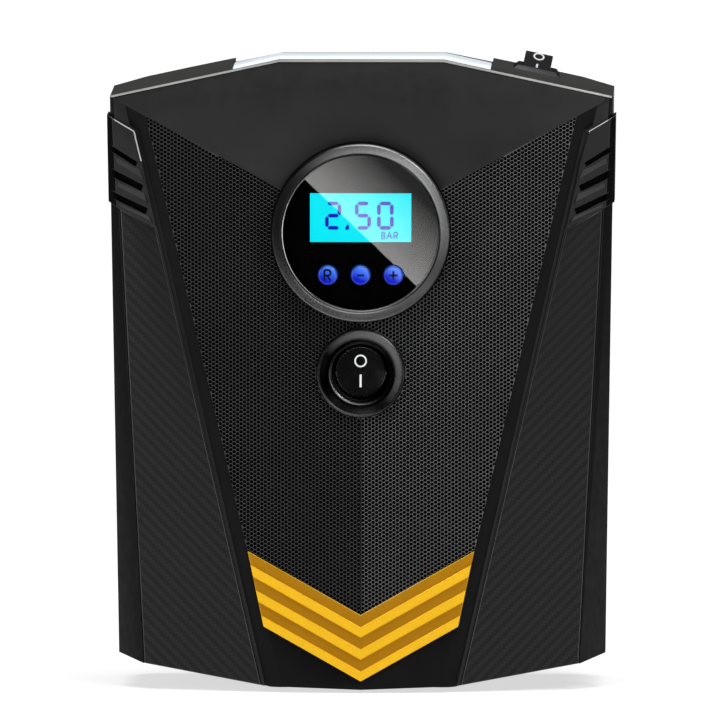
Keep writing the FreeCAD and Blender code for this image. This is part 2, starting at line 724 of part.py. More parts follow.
light_bezel()
lens = new_body("light_lens")
pad(lens, "XZ", "-light_rear", "light_rear - light_front",
    [top_points("light_half", "light_rise", "(light_rise + lens_thick)")])
board = new_body("light_board", ("0", "(light_front + light_rear) / 2", "board_z"))
pad(board, "XY", "0", "board_thick", [rectangle("-board_half", "-11", "board_half", "11")])
leds = []
for step in range(6):
    corner = (f"({step} - 2.5) * led_pitch - led_side / 2",
              "(light_front + light_rear - led_side) / 2", "board_z + board_thick")
    leds.append(box(f"led_{step + 1}", corner, ("led_side", "led_side", "led_tall")))
group("light_leds", leds)


# ---------------------------------------------------------------- gauge

GAUGE = ("0", "0", "gauge_z")
BUTTONS = {"button_reset": "-button_pitch", "button_minus": "0", "button_plus": "button_pitch"}
button_holes = [(x, "-button_drop", "button_hole") for x in BUTTONS.values()]

turned_y("gauge_bezel", [
    ("cup_radius + 0.1", "-ring_back"), ("ring_radius", "-ring_back"),
    ("ring_radius", "-(gauge_front - 1.4)"), ("ring_radius - 0.8", "-gauge_front"),
    ("ring_radius - 2.5", "-gauge_front"), ("glass_radius + 0.1", "-(gauge_front - 1.1)"),
    ("glass_radius + 0.1", "-(glass_front - glass_thick - mask_thick)"),
    ("cup_radius + 0.1", "-(glass_front - glass_thick - mask_thick)")], GAUGE)
turned_y("gauge_housing", [
    ("0", "-cup_back"), ("cup_radius", "-cup_back"),
    ("cup_radius", "-(ring_back - cup_flange_thick)"),
    ("cup_flange", "-(ring_back - cup_flange_thick)"), ("cup_flange", "-ring_back"),
    ("cup_radius", "-ring_back"), ("cup_radius", "-cup_front"),
    ("cup_radius - cup_wall", "-cup_front"), ("cup_radius - cup_wall", "-(cup_back + cup_floor)"),
    ("0", "-(cup_back + cup_floor)")], GAUGE)
glass = new_body("gauge_lens", GAUGE)
pad(glass, "XZ", "glass_front - glass_thick", "glass_thick",
    circles=[("0", "0", "glass_radius")] + button_holes)
mask = new_body("gauge_mask", GAUGE)
pad(mask, "XZ", "glass_front - glass_thick - mask_thick", "mask_thick",
    [rectangle("-lcd_half_wide", "lcd_rise - lcd_half_tall", "lcd_half_wide",
               "lcd_rise + lcd_half_tall")], [("0", "0", "glass_radius")] + button_holes)
lcd = new_body("lcd_module", GAUGE)
pad(lcd, "XZ", "glass_front - glass_thick - mask_thick - lcd_thick", "lcd_thick",
    [rectangle("-(lcd_half_wide + 1.8)", "lcd_rise - lcd_half_tall - 1.9", "lcd_half_wide + 1.8",
               "lcd_rise + lcd_half_tall + 1.9")])
pcb = new_body("gauge_board", GAUGE)
pad(pcb, "XZ", "pcb_front - pcb_thick", "pcb_thick", circles=[("0", "0", "pcb_radius")])
tacts = []
for node, x in BUTTONS.items():
    turned_y(node, [
        ("0", "-button_back"), ("button_flange", "-button_back"),
        ("button_flange", "-button_shoulder"), ("button_radius", "-button_shoulder"),
        ("button_radius", "-(button_front - button_edge)"),
        ("button_radius - button_edge", "-button_front"), ("0", "-button_front")],
        (x, "0", "gauge_z - button_drop"))
    base = box(node + "_switch",
               (f"{x} - tact_side / 2", "-(tact_front - plunger_rise)",
                "gauge_z - button_drop - tact_side / 2"),
               ("tact_side", "tact_front - plunger_rise - pcb_front", "tact_side"))
    plunger = rod(node + "_plunger", "Y", (x, "-tact_front", "gauge_z - button_drop"),
                  "plunger_radius", "plunger_tall")
    tacts.append(fuse(node + "_tact", [base, plunger]))
group("tact_switches", tacts)


# ---------------------------------------------------------------- main switch

SWITCH = ("0", "0", "switch_z")
turned_y("switch_collar", [
    ("barrel_radius + 0.05", "-collar_back"), ("collar_flange", "-collar_back"),
    ("collar_flange", "-(collar_back + 1.4)"), ("collar_radius", "-(collar_back + 1.4)"),
    ("collar_radius", "-(collar_front - 0.8)"), ("collar_radius - 0.7", "-collar_front"),
    ("collar_radius - 1.6", "-(collar_front - 0.8)"), ("collar_radius - 1.8", "-collar_floor"),
    ("barrel_radius + 0.05", "-collar_floor")], SWITCH)
barrel = turned_y("main_switch_body", [
    ("0", "-barrel_back"), ("barrel_radius", "-barrel_back"), ("barrel_radius", "-collar_floor"),
    ("bezel_radius", "-collar_floor"), ("bezel_radius", "-(bezel_front - 0.4)"),
    ("bezel_radius - 0.45", "-bezel_front"), ("barrel_bore", "-(bezel_front - 0.4)"),
    ("barrel_bore", "-barrel_floor"), ("0", "-barrel_floor")], SWITCH)
pocket(barrel, "YZ", "barrel_radius + 1", "2 * barrel_radius + 2",
       circles=[("-rocker_pivot", "0", "pivot_radius + pivot_play")])


def main_rocker():
    turn = Rotation(Vector(1, 0, 0), -size("rocker_tilt"))
    body = new_body("main_switch_rocker", ("0", "-rocker_pivot", "switch_z"), turn)
    pad(body, "XZ", "-rocker_tail", "rocker_rise + rocker_tail",
        circles=[("0", "0", "rocker_radius")])
    reach = "(rocker_radius + 1)"
    edge = "-(rocker_rise + rocker_dish / rocker_radius)"
    pocket(body, "YZ", "rocker_radius + 1", "2 * rocker_radius + 2",
           [[("-(rocker_rise - rocker_dish)", "0"), (edge, reach), ("-(rocker_rise + 3)", reach),
             ("-(rocker_rise + 3)", f"-{reach}"), (edge, f"-{reach}")]])
    pad(body, "YZ", "-(barrel_bore + pivot_reach)", "2 * (barrel_bore + pivot_reach)",
        circles=[("0", "0", "pivot_radius")])


main_rocker()
blades = [box(f"blade_{step + 1}",
              (f"({step} - 1) * blade_pitch - blade_thick / 2", "-barrel_back",
               "switch_z - blade_wide / 2"),
              ("blade_thick", "blade_long", "blade_wide")) for step in range(3)]
group("main_switch_terminals", blades)


# ---------------------------------------------------------------- light switch on the right slope

LAMP = ("lamp_switch_x", "lamp_switch_y", "top_z - (lamp_switch_x - top_half) * top_slope")
LAMP_TURN = lamp_frame().Rotation


def centred(wide, long_side):
    return rectangle(f"-{wide} / 2", f"-{long_side} / 2", f"{wide} / 2", f"{long_side} / 2")


def lamp_switch():
    body = new_body("light_switch_body", LAMP, LAMP_TURN)
    pad(body, "XY", "0", "lamp_bezel_tall", [centred("lamp_bezel_wide", "lamp_bezel_long")])
    doc.recompute()
    block = body.Tip
    rims = [f"Edge{number}" for number, edge in enumerate(block.Shape.Edges, start=1)
            if edge.BoundBox.ZMin > size("lamp_bezel_tall") - 0.01]
    chamfer = body.newObject("PartDesign::Chamfer", "Chamfer")
    chamfer.Base = (block, rims)
    chamfer.Size = size("lamp_bezel_tall - lamp_bezel_edge")
    bind(chamfer, "Size", "lamp_bezel_tall - lamp_bezel_edge")
    pad(body, "XY", "-lamp_body_deep", "lamp_body_deep",
        [centred("lamp_body_wide", "lamp_body_long")])
    pocket(body, "XY", "lamp_bezel_tall + 1", "lamp_bezel_tall + 9",
           [centred("lamp_bore_wide", "lamp_bore_long")])
    pocket(body, "YZ", "lamp_bore_wide / 2 + 1.2", "lamp_bore_wide + 2.4",
           circles=[("0", "lamp_pivot_z", "lamp_pin + pivot_play")])


def lamp_rocker():
    body = new_body("light_switch_rocker", LAMP, LAMP_TURN)
    wide = "lamp_cap_wide"
    reach = "(lamp_cap_radius + 1)"
    pad(body, "YZ", f"-{wide} / 2", wide, circles=[("0", "lamp_pivot_z", "lamp_cap_radius")])
    pocket(body, "YZ", f"{wide} / 2 + 1", f"{wide} + 2",
           [[("0", "lamp_cap_mid"), (reach, f"lamp_cap_mid + {reach} * lamp_rear_lean"),
             (reach, "lamp_cap_radius + 4"), (f"-{reach}", "lamp_cap_radius + 4"),
             (f"-{reach}", f"lamp_cap_mid - {reach} * lamp_front_lean")],
            rectangle(f"-{reach}", "-lamp_cap_radius - 2", reach, "lamp_cap_low")])
    pad(body, "YZ", "-(lamp_bore_wide / 2 + 2 * pivot_reach)",
        "lamp_bore_wide + 4 * pivot_reach", circles=[("0", "lamp_pivot_z", "lamp_pin")])


lamp_switch()
lamp_rocker()
lamp_blades = new_body("light_switch_terminals", LAMP, LAMP_TURN)
pad(lamp_blades, "XY", "-(lamp_body_deep + lamp_blade_long)", "lamp_blade_long",
    [rectangle("-lamp_blade_half", "-lamp_blade_out", "lamp_blade_half", "-lamp_blade_in"),
     rectangle("-lamp_blade_half", "lamp_blade_in", "lamp_blade_half", "lamp_blade_out")])


# ---------------------------------------------------------------- feet, screws, gland and outlet

group("feet", [rod(f"foot_{hand}_{y}", "Z", (f"{hand} * foot_x", y, "0"), "foot_radius",
                   "foot_tall") for hand in (1, -1) for y in ("foot_front_y", "foot_rear_y")])
screws = []
for x, z in SCREW_SPOTS:
    head = rod("screw_head", "Y", (x, "screw_seat", z), "screw_head", "screw_head_tall")
    shank = rod("screw_shank", "Y", (x, "screw_tip", z), "screw_radius", "screw_seat - screw_tip")
    screws.append(fuse("case_screw", [head, shank]))
group("case_screws", screws)

turned_y("cord_gland", [
    ("gland_bore", "port_floor - wall - port_lip"),
    ("port_hole + 1.5", "port_floor - wall - port_lip"),
    ("port_hole + 1.5", "port_floor - wall"), ("port_hole", "port_floor - wall"),
    ("port_hole", "port_floor"), ("port_hole + 1.2", "port_floor"),
    ("port_hole + 1.2", "port_floor + 1.6"), ("gland_bore + 1.4", "back - 1"),
    ("gland_bore", "back - 1")], ("gland_x", "0", "gland_z"))
turned_y("outlet_fitting", [
    ("outlet_bore", "port_front"), ("barb_radius", "port_front"),
    ("barb_radius", "port_floor - wall - port_lip"),
    ("port_hole + 2", "port_floor - wall - port_lip"), ("port_hole + 2", "port_floor - wall"),
    ("port_hole", "port_floor - wall"), ("port_hole", "port_floor"),
    ("port_hole + 1", "port_floor"), ("port_hole + 1", "port_floor + 0.6"),
    ("nose_radius", "port_floor + 0.6"), ("nose_radius", "back - 1.4"),
    ("nose_radius - 0.6", "back - 0.8"), ("outlet_bore", "back - 0.8")],
    ("outlet_x", "0", "outlet_z"))


# ---------------------------------------------------------------- pump

MOTOR = ("0", "pump_y", "motor_z")
GEAR_Z = "(motor_z + gear_module * (gear_teeth + pinion_teeth) / 2)"
GEAR = ("0", "pump_y", GEAR_Z)
CRANK = ("0", "pump_y", f"{GEAR_Z} + crank_radius")
CYLINDER = ("cylinder_x", "pump_y", "0")

can = turned_x("motor_can", [
    ("motor_front", "bush_radius"), ("motor_front", "motor_radius"),
    ("motor_rear", "motor_radius"), ("motor_rear", "motor_radius - can_wall"),
    ("motor_front + can_floor", "motor_radius - can_wall"),
    ("motor_front + can_floor", "bush_radius")], MOTOR)
MOTOR_SCREWS = [("motor_screw_y", "0"), ("(-motor_screw_y)", "0")]
pocket(can, "YZ", "motor_front + 3", "4", circles=[(y, z, "screw_radius") for y, z in MOTOR_SCREWS])
turned_x("motor_end_cap", [
    ("motor_rear", "bush_radius"), ("motor_rear", "motor_radius"),
    ("motor_rear + cap_thick", "motor_radius"), ("motor_rear + cap_thick", "bush_radius")], MOTOR)
turned_x("motor_rotor", [
    ("rotor_left", "0"), ("rotor_left", "shaft_radius"), ("core_left", "shaft_radius"),
    ("core_left", "core_radius"), ("core_right", "core_radius"), ("core_right", "neck_radius"),
    ("commutator_left", "neck_radius"), ("commutator_left", "commutator_radius"),
    ("commutator_right", "commutator_radius"), ("commutator_right", "shaft_radius"),
    ("shaft_right", "shaft_radius"), ("shaft_right", "0")], MOTOR)


def ring_x(name, start, inner, outer, length, spot):
    """A ring about X from its start, as a cut of two bars."""
    begin = (start, spot[1], spot[2])
    hole = (f"{start} - 1", spot[1], spot[2])
    return cut(name, rod(name + "_outer", "X", begin, outer, length),
               rod(name + "_bore", "X", hole, inner, f"{length} + 2"))


bush_bore = "shaft_radius + running_play"
group("motor_bushes", [
    ring_x(name, start, bush_bore, "bush_radius", "bush_long", MOTOR)
    for name, start in (("front_bush", "motor_front"), ("rear_bush", "motor_rear"))])


def magnet(name, turn):
    """Half of the motor's field: an arc magnet along the can's inside."""
    outer = rod(name + "_outer", "X", ("magnet_left", "pump_y", "motor_z"),
                "motor_radius - can_wall - magnet_play", "magnet_long")
    outer.Angle = 140
    outer.Placement.Rotation = ALONG["X"] * Rotation(Vector(0, 0, 1), turn)
    inner = rod(name + "_bore", "X", ("magnet_left - 1", "pump_y", "motor_z"),
                "core_radius + air_gap", "magnet_long + 2")
    return cut(name, outer, inner)


group("motor_magnets", [magnet("lower_magnet", -70), magnet("upper_magnet", 110)])
group("motor_brushes", [
    box(name, ("brush_left", y, "motor_z - brush_wide / 2"), ("brush_wide", "brush_long", "brush_wide"))
    for name, y in (("front_brush", "pump_y - brush_gap - brush_long"),
                    ("back_brush", "pump_y + brush_gap"))])


def gear_solid(teeth, bore, length, first_angle):
    """A spur gear about X with involute flanks, a tooth centred on the first angle."""
    pitch = size("gear_module") * teeth / 2
    tip = pitch + size("gear_module * tip_share")
    root = pitch - size("gear_module * root_share")
    pressure = math.radians(size("pressure_angle"))
    base = pitch * math.cos(pressure)
    roll = math.tan(pressure) - pressure
    half = math.pi / (2 * teeth) - size("tooth_play") / (2 * pitch)
    flank = []
    for step in range(4):
        radius = max(base, root) + (tip - max(base, root)) * step / 3
        turn = math.sqrt(max(0.0, (radius / base) ** 2 - 1))
        flank.append((radius, half + roll - (turn - math.atan(turn))))
    flank = [(root, flank[0][1])] + flank
    points = []
    for tooth in range(teeth):
        centre = first_angle + 2 * math.pi * tooth / teeth
        sides = [(r, centre - a) for r, a in flank] + [(r, centre + a) for r, a in reversed(flank)]
        points += [Vector(0, r * math.cos(angle), r * math.sin(angle)) for r, angle in sides]
    face = Part.Face(Part.makePolygon(points + points[:1]))
    blank = face.extrude(Vector(length, 0, 0))
    return blank.cut(Part.makeCylinder(bore, length + 2, Vector(-1, 0, 0), Vector(1, 0, 0)))


def drive_gear():
    teeth = int(size("gear_teeth"))
    width = size("gear_right - gear_left")
    gap_angle = -math.pi / 2 + math.pi / teeth
    shape = gear_solid(teeth, size("axle_radius + running_play"), width, gap_angle)
    spot = size("web_hole_spot")
    for step in range(6):
        turn = math.pi / 6 + step * math.pi / 3
        hole = Vector(-1, spot * math.cos(turn), spot * math.sin(turn))
        shape = shape.cut(Part.makeCylinder(size("web_hole"), width + 2, hole, Vector(1, 0, 0)))
    item = feature("drive_gear", shape)
    place(item, ("gear_left", "pump_y", GEAR_Z))


def motor_pinion():
    teeth = int(size("pinion_teeth"))
    shape = gear_solid(teeth, size("shaft_radius"), size("pinion_long"), math.pi / 2)
    item = feature("motor_pinion", shape)
    place(item, ("rotor_left", "pump_y", "motor_z"))


drive_gear()
motor_pinion()


def counterweight():
    start = ("gear_left - weight_thick", "pump_y", GEAR_Z)
    hub = rod("weight_hub", "X", start, "weight_hub", "weight_thick")
    wedge = rod("weight_wedge", "X", start, "weight_radius", "weight_thick")
    wedge.Angle = size("weight_arc")
    wedge.Placement.Rotation = ALONG["X"] * Rotation(Vector(0, 0, 1), -size("weight_arc") / 2)
    bind(wedge, "Angle", "weight_arc")
    seat = rod("crank_seat", "X",
               ("gear_left - crank_seat", "pump_y", f"{GEAR_Z} + crank_radius"),
               "axle_radius", "crank_seat")
    bore = rod("weight_bore", "X", ("gear_left - 5", "pump_y", GEAR_Z),
               "axle_radius + running_play", "8")
    keep("counterweight", cut("counterweight", fuse("weight", [hub, wedge, seat]), bore))


counterweight()
turned_x("gear_axle", [
    ("axle_left", "0"), ("axle_left", "axle_head"), ("axle_left + axle_head_tall", "axle_head"),
    ("axle_left + axle_head_tall", "axle_radius"), ("motor_front", "axle_radius"),
    ("motor_front", "0")], GEAR)
turned_x("crank_pin", [
    ("pin_left", "0"), ("pin_left", "axle_head"), ("pin_left + pin_head_tall", "axle_head"),
    ("pin_left + pin_head_tall", "axle_radius"), ("pin_right", "axle_radius"),
    ("pin_right", "0")], CRANK)
keep("crank_bearing", ring_x("crank_bearing", "cylinder_x - bearing_long / 2", "axle_radius",
                             "big_end_bore", "bearing_long", CRANK))


def connecting_rod():
    """Rod and piston in one piece, as small compressors have it."""
    body = new_body("connecting_rod", ("cylinder_x", "pump_y", "0"))
    centre = f"({GEAR_Z} + crank_radius)"
    pad(body, "YZ", "-rod_half", "2 * rod_half", circles=[("0", centre, "big_end")])
    pad(body, "YZ", "-rod_half", "2 * rod_half",
        [rectangle("-rod_wide / 2", centre, "rod_wide / 2", "piston_low_z + 1")])
    revolve(body, "XZ", "V_Axis", [
        ("0", "piston_low_z"), ("piston_radius", "piston_low_z"),
        ("piston_radius", "piston_low_z + piston_tall"), ("0", "piston_low_z + piston_tall")])
    pocket(body, "YZ", "rod_half + 1", "2 * rod_half + 2", circles=[("0", centre, "big_end_bore")])


connecting_rod()
SEAL_Z = "(piston_low_z + piston_tall)"
turned_z("piston_seal", [
    ("0", SEAL_Z), ("bore_radius - seal_play", SEAL_Z),
    ("bore_radius - seal_play", f"{SEAL_Z} + seal_thick"), ("6", f"{SEAL_Z} + seal_thick"),
    ("5", f"{SEAL_Z} + seal_thick + seal_step"), ("0", f"{SEAL_Z} + seal_thick + seal_step")],
    CYLINDER)


def square_with_screws(body, low, tall, bore):
    corners = [(f"{a} * head_screw", f"{b} * head_screw", "screw_radius")
               for a in (1, -1) for b in (1, -1)]
    pad(body, "XY", low, tall, [centred("(2 * head_half)", "(2 * head_half)")],
        corners + ([("0", "0", bore)] if bore else []))


def cylinder():
    body = turned_z("cylinder", [
        ("bore_radius", "deck_z"), ("bore_radius + cylinder_foot", "deck_z"),
        ("bore_radius + cylinder_foot", "deck_z + cylinder_foot_tall"),
        ("bore_radius + cylinder_wall", "deck_z + cylinder_foot_tall"),
        ("bore_radius + cylinder_wall", "head_z"), ("bore_radius", "head_z")], CYLINDER)
    square_with_screws(body, "head_z - flange_thick", "flange_thick", "bore_radius")


def cylinder_head():
    body = new_body("cylinder_head", CYLINDER)
    square_with_screws(body, "head_z", "head_floor", "inlet_radius")
    square_with_screws(body, "head_z + head_floor", "head_roof - head_floor", "chamber_radius")
    square_with_screws(body, "head_z + head_roof", "head_tall - head_roof", None)
    slots = [rectangle("-(head_half + 1)", f"{y} - fin_slot / 2", "head_half + 1",
                       f"{y} + fin_slot / 2") for y in ("(-9.6)", "(-7)", "7", "9.6")]
    pocket(body, "XY", "head_z + head_tall", "fin_deep", slots)
    pad(body, "YZ", "-(head_half + barb_long)", "barb_long + 0.1",
        circles=[("0", "outlet_z", "barb_radius")])
    pocket(body, "YZ", "-(chamber_radius - 1)", "head_half + 7",
           circles=[("0", "outlet_z", "barb_bore")])


cylinder()
cylinder_head()
head_bolts = []
for a in (1, -1):
    for b in (1, -1):
        spot = (f"cylinder_x + {a} * head_screw", f"pump_y + {b} * head_screw")
        head = rod("bolt_head", "Z", spot + ("head_z + head_tall",), "bolt_head", "screw_head_tall")
        shank = rod("bolt_shank", "Z", spot + ("head_z - flange_thick",), "screw_radius",
                    "head_tall + flange_thick")
        head_bolts.append(fuse("head_bolt", [head, shank]))
group("head_screws", head_bolts)
turned_z("valve_poppet", [
    ("0", "head_z + 3.1"), ("poppet_radius", "head_z + 3.1"), ("poppet_radius", "head_z + 4.2"),
    ("stem_radius", "head_z + 4.2"), ("stem_radius", "head_z + 6.4"), ("0", "head_z + 6.4")],
    CYLINDER)
turned_z("valve_spring", [
    ("spring_inner", "head_z + 4.3"), ("spring_outer", "head_z + 4.3"),
    ("spring_outer", "head_z + 9.4"), ("spring_inner", "head_z + 9.4")], CYLINDER)


def gear_frame():
    """Bent steel bracket that holds the motor, the gear axle and the cylinder."""
    body = new_body("gear_frame", ("0", "pump_y", "0"))
    left = "plate_left"
    plate = [("-20", "14"), ("19.5", "14"), ("22", "18"), ("22", "deck_z"), ("-15", "deck_z"),
             ("-15", "60"), ("-20", "50")]
    holes = [("0", "motor_z", "6.5"), ("0", GEAR_Z, "axle_radius")]
    holes += [(y, f"motor_z + {z}", "screw_radius") for y, z in MOTOR_SCREWS]
    pad(body, "YZ", left, f"motor_front - {left}", [plate], holes)
    pad(body, "XY", "deck_z - deck_thick", "deck_thick",
        [rectangle("cylinder_x - head_half", "-15", f"{left} + 1", "mount_y")])
    for low, high in (("16", "31"), ("deck_z - 1", "deck_z + 13")):
        pad(body, "XZ", "-mount_y", "fold_thick",
            [rectangle("cylinder_x - head_half + 1", low, f"{left} + 1", high)])
    pocket(body, "XY", "deck_z + 1", "deck_thick + 2",
           circles=[("cylinder_x", "0", "bore_radius + 0.3")])


gear_frame()
mounts = [rod(f"mount_{step + 1}", "Y", (x, "pump_y + mount_y", z), "mount_radius",
              "back - wall - pump_y - mount_y")
          for step, (x, z) in enumerate((("-19", "23"), ("-5", "23"), ("-20", "93"), ("-3", "93")))]
group("pump_mounts", mounts)
bolts = []
for y, z in MOTOR_SCREWS:
    spot = (f"pump_y + {y}", f"motor_z + {z}")
    head = rod("motor_bolt_head", "X", ("plate_left - bolt_head_tall",) + spot, "bolt_head",
               "bolt_head_tall")
    shank = rod("motor_bolt_shank", "X", ("plate_left",) + spot, "screw_radius", "5.5")
    bolts.append(fuse("motor_bolt", [head, shank]))
group("motor_screws", bolts)


def air_hose():
    """Hose from the cylinder head to the outlet: two straight runs and one bend."""
    z = size("outlet_z")
    bend = size("hose_bend")
    corner = Vector(size("outlet_x"), size("pump_y"), z)
    start = Vector(size("cylinder_x - head_half - 3.5"), corner.y, z)
    leave = Vector(corner.x + bend, corner.y, z)
    arrive = Vector(corner.x, corner.y + bend, z)
    middle = Vector(corner.x + bend * (1 - math.sin(math.pi / 4)),
                    corner.y + bend * (1 - math.sin(math.pi / 4)), z)
    end = Vector(corner.x, size("port_floor - wall - port_lip") - 0.4, z)
    path = Part.Wire([Part.LineSegment(start, leave).toShape(),
                      Part.Arc(leave, middle, arrive).toShape(),
                      Part.LineSegment(arrive, end).toShape()])
    tubes = []
    for radius in (size("hose_radius"), size("barb_radius")):
        ring = Part.Wire(Part.Circle(start, Vector(1, 0, 0), radius).toShape())
        tubes.append(path.makePipeShell([ring], True, False))
    feature("air_hose", tubes[0].cut(tubes[1]))


air_hose()


# ---------------------------------------------------------------- checks and files

doc.recompute()
faults = [item.Label for item in doc.Objects if {"Invalid", "Error"} & set(item.State)]
for node, item in NODES.items():
    if item.Shape.isNull() or not item.Shape.isValid() or not item.Shape.Solids:
        faults.append(node)
if faults:
    raise RuntimeError("these objects failed: " + ", ".join(sorted(set(faults))))

os.makedirs("parts", exist_ok=True)
for node, item in NODES.items():
    item.Shape.exportStep(f"parts/{node}.step")
print(len(NODES), "sub-parts written")
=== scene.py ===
import json
import math

import bmesh
import bpy
from mathutils import Matrix, Vector

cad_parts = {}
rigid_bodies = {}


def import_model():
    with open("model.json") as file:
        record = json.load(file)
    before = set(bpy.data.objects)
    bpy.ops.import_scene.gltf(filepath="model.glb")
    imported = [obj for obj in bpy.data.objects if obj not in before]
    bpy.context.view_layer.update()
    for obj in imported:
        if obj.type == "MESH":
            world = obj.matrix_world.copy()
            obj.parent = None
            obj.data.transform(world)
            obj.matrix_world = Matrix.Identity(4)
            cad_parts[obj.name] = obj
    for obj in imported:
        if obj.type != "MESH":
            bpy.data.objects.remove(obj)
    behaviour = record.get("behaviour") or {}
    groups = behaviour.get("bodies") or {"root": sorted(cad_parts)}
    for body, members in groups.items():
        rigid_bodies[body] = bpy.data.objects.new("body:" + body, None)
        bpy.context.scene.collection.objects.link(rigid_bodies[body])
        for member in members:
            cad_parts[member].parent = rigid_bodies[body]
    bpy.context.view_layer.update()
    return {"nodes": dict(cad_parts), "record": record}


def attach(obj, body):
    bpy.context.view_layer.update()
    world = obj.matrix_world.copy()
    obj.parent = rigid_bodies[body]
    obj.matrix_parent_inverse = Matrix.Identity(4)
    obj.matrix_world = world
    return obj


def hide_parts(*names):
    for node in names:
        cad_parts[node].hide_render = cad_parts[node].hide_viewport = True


# Looks for a portable tyre inflator, in metres, in the frame of the CAD parts:
# +Z up, the front faces -Y, +X to the right.

MM = 0.001

# Sizes of the CAD parts that looks and pieces share, in millimetres.
GAUGE_Z = 138.6
SWITCH_Z = 96.25
BUTTON_PITCH = 9.85
BUTTON_Z = GAUGE_Z - 12.7
BUTTON_FRONT = 38.5
BUTTONS = {"button_reset": -BUTTON_PITCH, "button_minus": 0.0, "button_plus": BUTTON_PITCH}
GROOVE_LOW_HALF, GROOVE_LOW_Z, GROOVE_LEAN = 29.3, 1.9, 0.22784

# Noise scales of the moulded plastics: slow colour drift and uneven gloss.
DRIFT = 45.0
GLOSS = 380.0

for item in list(bpy.data.objects):
    bpy.data.objects.remove(item)
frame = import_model()
NODES = frame["nodes"]


# ---------------------------------------------------------------- shader helpers

class Shader:
    """A node tree with one Principled shader, and short calls for the nodes that feed it."""

    def __init__(self, name, color, roughness, metallic=0.0, specular=0.5, **sockets):
        self.material = bpy.data.materials.new(name)
        self.material.use_nodes = True
        self.tree = self.material.node_tree
        self.bsdf = self.tree.nodes["Principled BSDF"]
        self.set("Base Color", (*color, 1.0))
        self.set("Roughness", roughness)
        self.set("Metallic", metallic)
        self.set("Specular IOR Level", specular)
        for socket, value in sockets.items():
            self.set(socket.replace("_", " "), value)
        self.place = self.node("ShaderNodeTexCoord").outputs["Object"]

    def set(self, socket, value):
        self.bsdf.inputs[socket].default_value = value

    def link(self, output, target):
        self.tree.links.new(output, target)

    def feed(self, socket, output):
        self.link(output, self.bsdf.inputs[socket])

    def node(self, kind, **settings):
        made = self.tree.nodes.new(kind)
        for key, value in settings.items():
            setattr(made, key, value)
        return made

    def noise(self, scale, detail=3.0, stretch=(1, 1, 1)):
        mapping = self.node("ShaderNodeMapping")
        mapping.inputs["Scale"].default_value = stretch
        self.link(self.place, mapping.inputs["Vector"])
        texture = self.node("ShaderNodeTexNoise")
        texture.inputs["Scale"].default_value = scale
        texture.inputs["Detail"].default_value = detail
        self.link(mapping.outputs["Vector"], texture.inputs["Vector"])
        return texture.outputs["Fac"]

    def remap(self, source, low, high, to_low, to_high):
        made = self.node("ShaderNodeMapRange")
        for socket, value in zip(("From Min", "From Max", "To Min", "To Max"),
                                 (low, high, to_low, to_high)):
            made.inputs[socket].default_value = value
        self.link(source, made.inputs["Value"])
        return made.outputs["Result"]

    def spread(self, noise, low, high, margin=0.3):
        """Bring the usual range of a noise to low..high."""
        return self.remap(noise, margin, 1 - margin, low, high)

    def tint(self, noise, dark, light, margin=0.3):
        self.feed("Base Color", self.mix(self.spread(noise, 0, 1, margin), dark, light))

    def math(self, operation, first, second=0.0):
        made = self.node("ShaderNodeMath", operation=operation)
        for socket, value in zip(made.inputs, (first, second)):
            if isinstance(value, (int, float)):
                socket.default_value = value
            else:
                self.link(value, socket)
        return made.outputs["Value"]

    def mix(self, factor, dark, light):
        made = self.node("ShaderNodeMix", data_type="RGBA")
        self.link(factor, made.inputs["Factor"])
        made.inputs["A"].default_value = (*dark, 1.0)
        made.inputs["B"].default_value = (*light, 1.0)
        return made.outputs["Result"]

    def bump(self, height, distance):
        made = self.node("ShaderNodeBump")
        made.inputs["Distance"].default_value = distance
        self.link(height, made.inputs["Height"])
        self.feed("Normal", made.outputs["Normal"])

    def reach(self, across, up):
        """Distance from the point where both are zero."""
        return self.math("SQRT", self.math("ADD", self.math("MULTIPLY", across, across),
                                           self.math("MULTIPLY", up, up)))

    def axes(self):
        made = self.node("ShaderNodeSeparateXYZ")
        self.link(self.place, made.inputs["Vector"])
        return made.outputs


def scaled(color, factor):
    return tuple(min(1.0, channel * factor) for channel in color)


def grained(name, color, roughness, specular, grain, depth, **sockets):
    """A moulded surface: fine spark-eroded grain, slow colour drift and uneven gloss."""
    made = Shader(name, color, roughness, specular=specular, **sockets)
    made.tint(made.noise(DRIFT, 4.0), scaled(color, 0.82), scaled(color, 1.22))
    made.feed("Roughness", made.spread(made.noise(GLOSS), roughness - 0.06, roughness + 0.06))
    made.bump(made.noise(grain, 2.0), depth * MM)
    return made.material


def pale_topped(name, color, top):
    """Grained plastic that is drawn paler where it looks up, as the studio's light shows it."""
    made = Shader(name, color, 0.5, specular=0.2)
    normal = made.node("ShaderNodeSeparateXYZ")
    made.link(made.node("ShaderNodeNewGeometry").outputs["Normal"], normal.inputs["Vector"])
    up = made.math("GREATER_THAN", normal.outputs["Z"], 0.5)
    drift = made.spread(made.noise(DRIFT, 4.0), -0.12, 0.12)
    made.feed("Base Color", made.mix(made.math("ADD", up, drift), color, top))
    made.feed("Roughness", made.spread(made.noise(GLOSS), 0.42, 0.54))
    made.bump(made.noise(1900.0, 2.0), 0.035 * MM)
    return made.material


def metal(name, color, roughness, stretch=(1, 1, 1), scale=900.0, depth=0.004):
    """Worked metal: directional scratches or blasting in its gloss and height."""
    made = Shader(name, color, roughness, metallic=1.0)
    lines = made.noise(scale, 5.0, stretch)
    made.feed("Roughness", made.spread(lines, roughness * 0.7, roughness * 1.35))
    made.tint(made.noise(60.0), scaled(color, 0.86), color, 0.35)
    made.bump(lines, depth * MM)
    return made.material


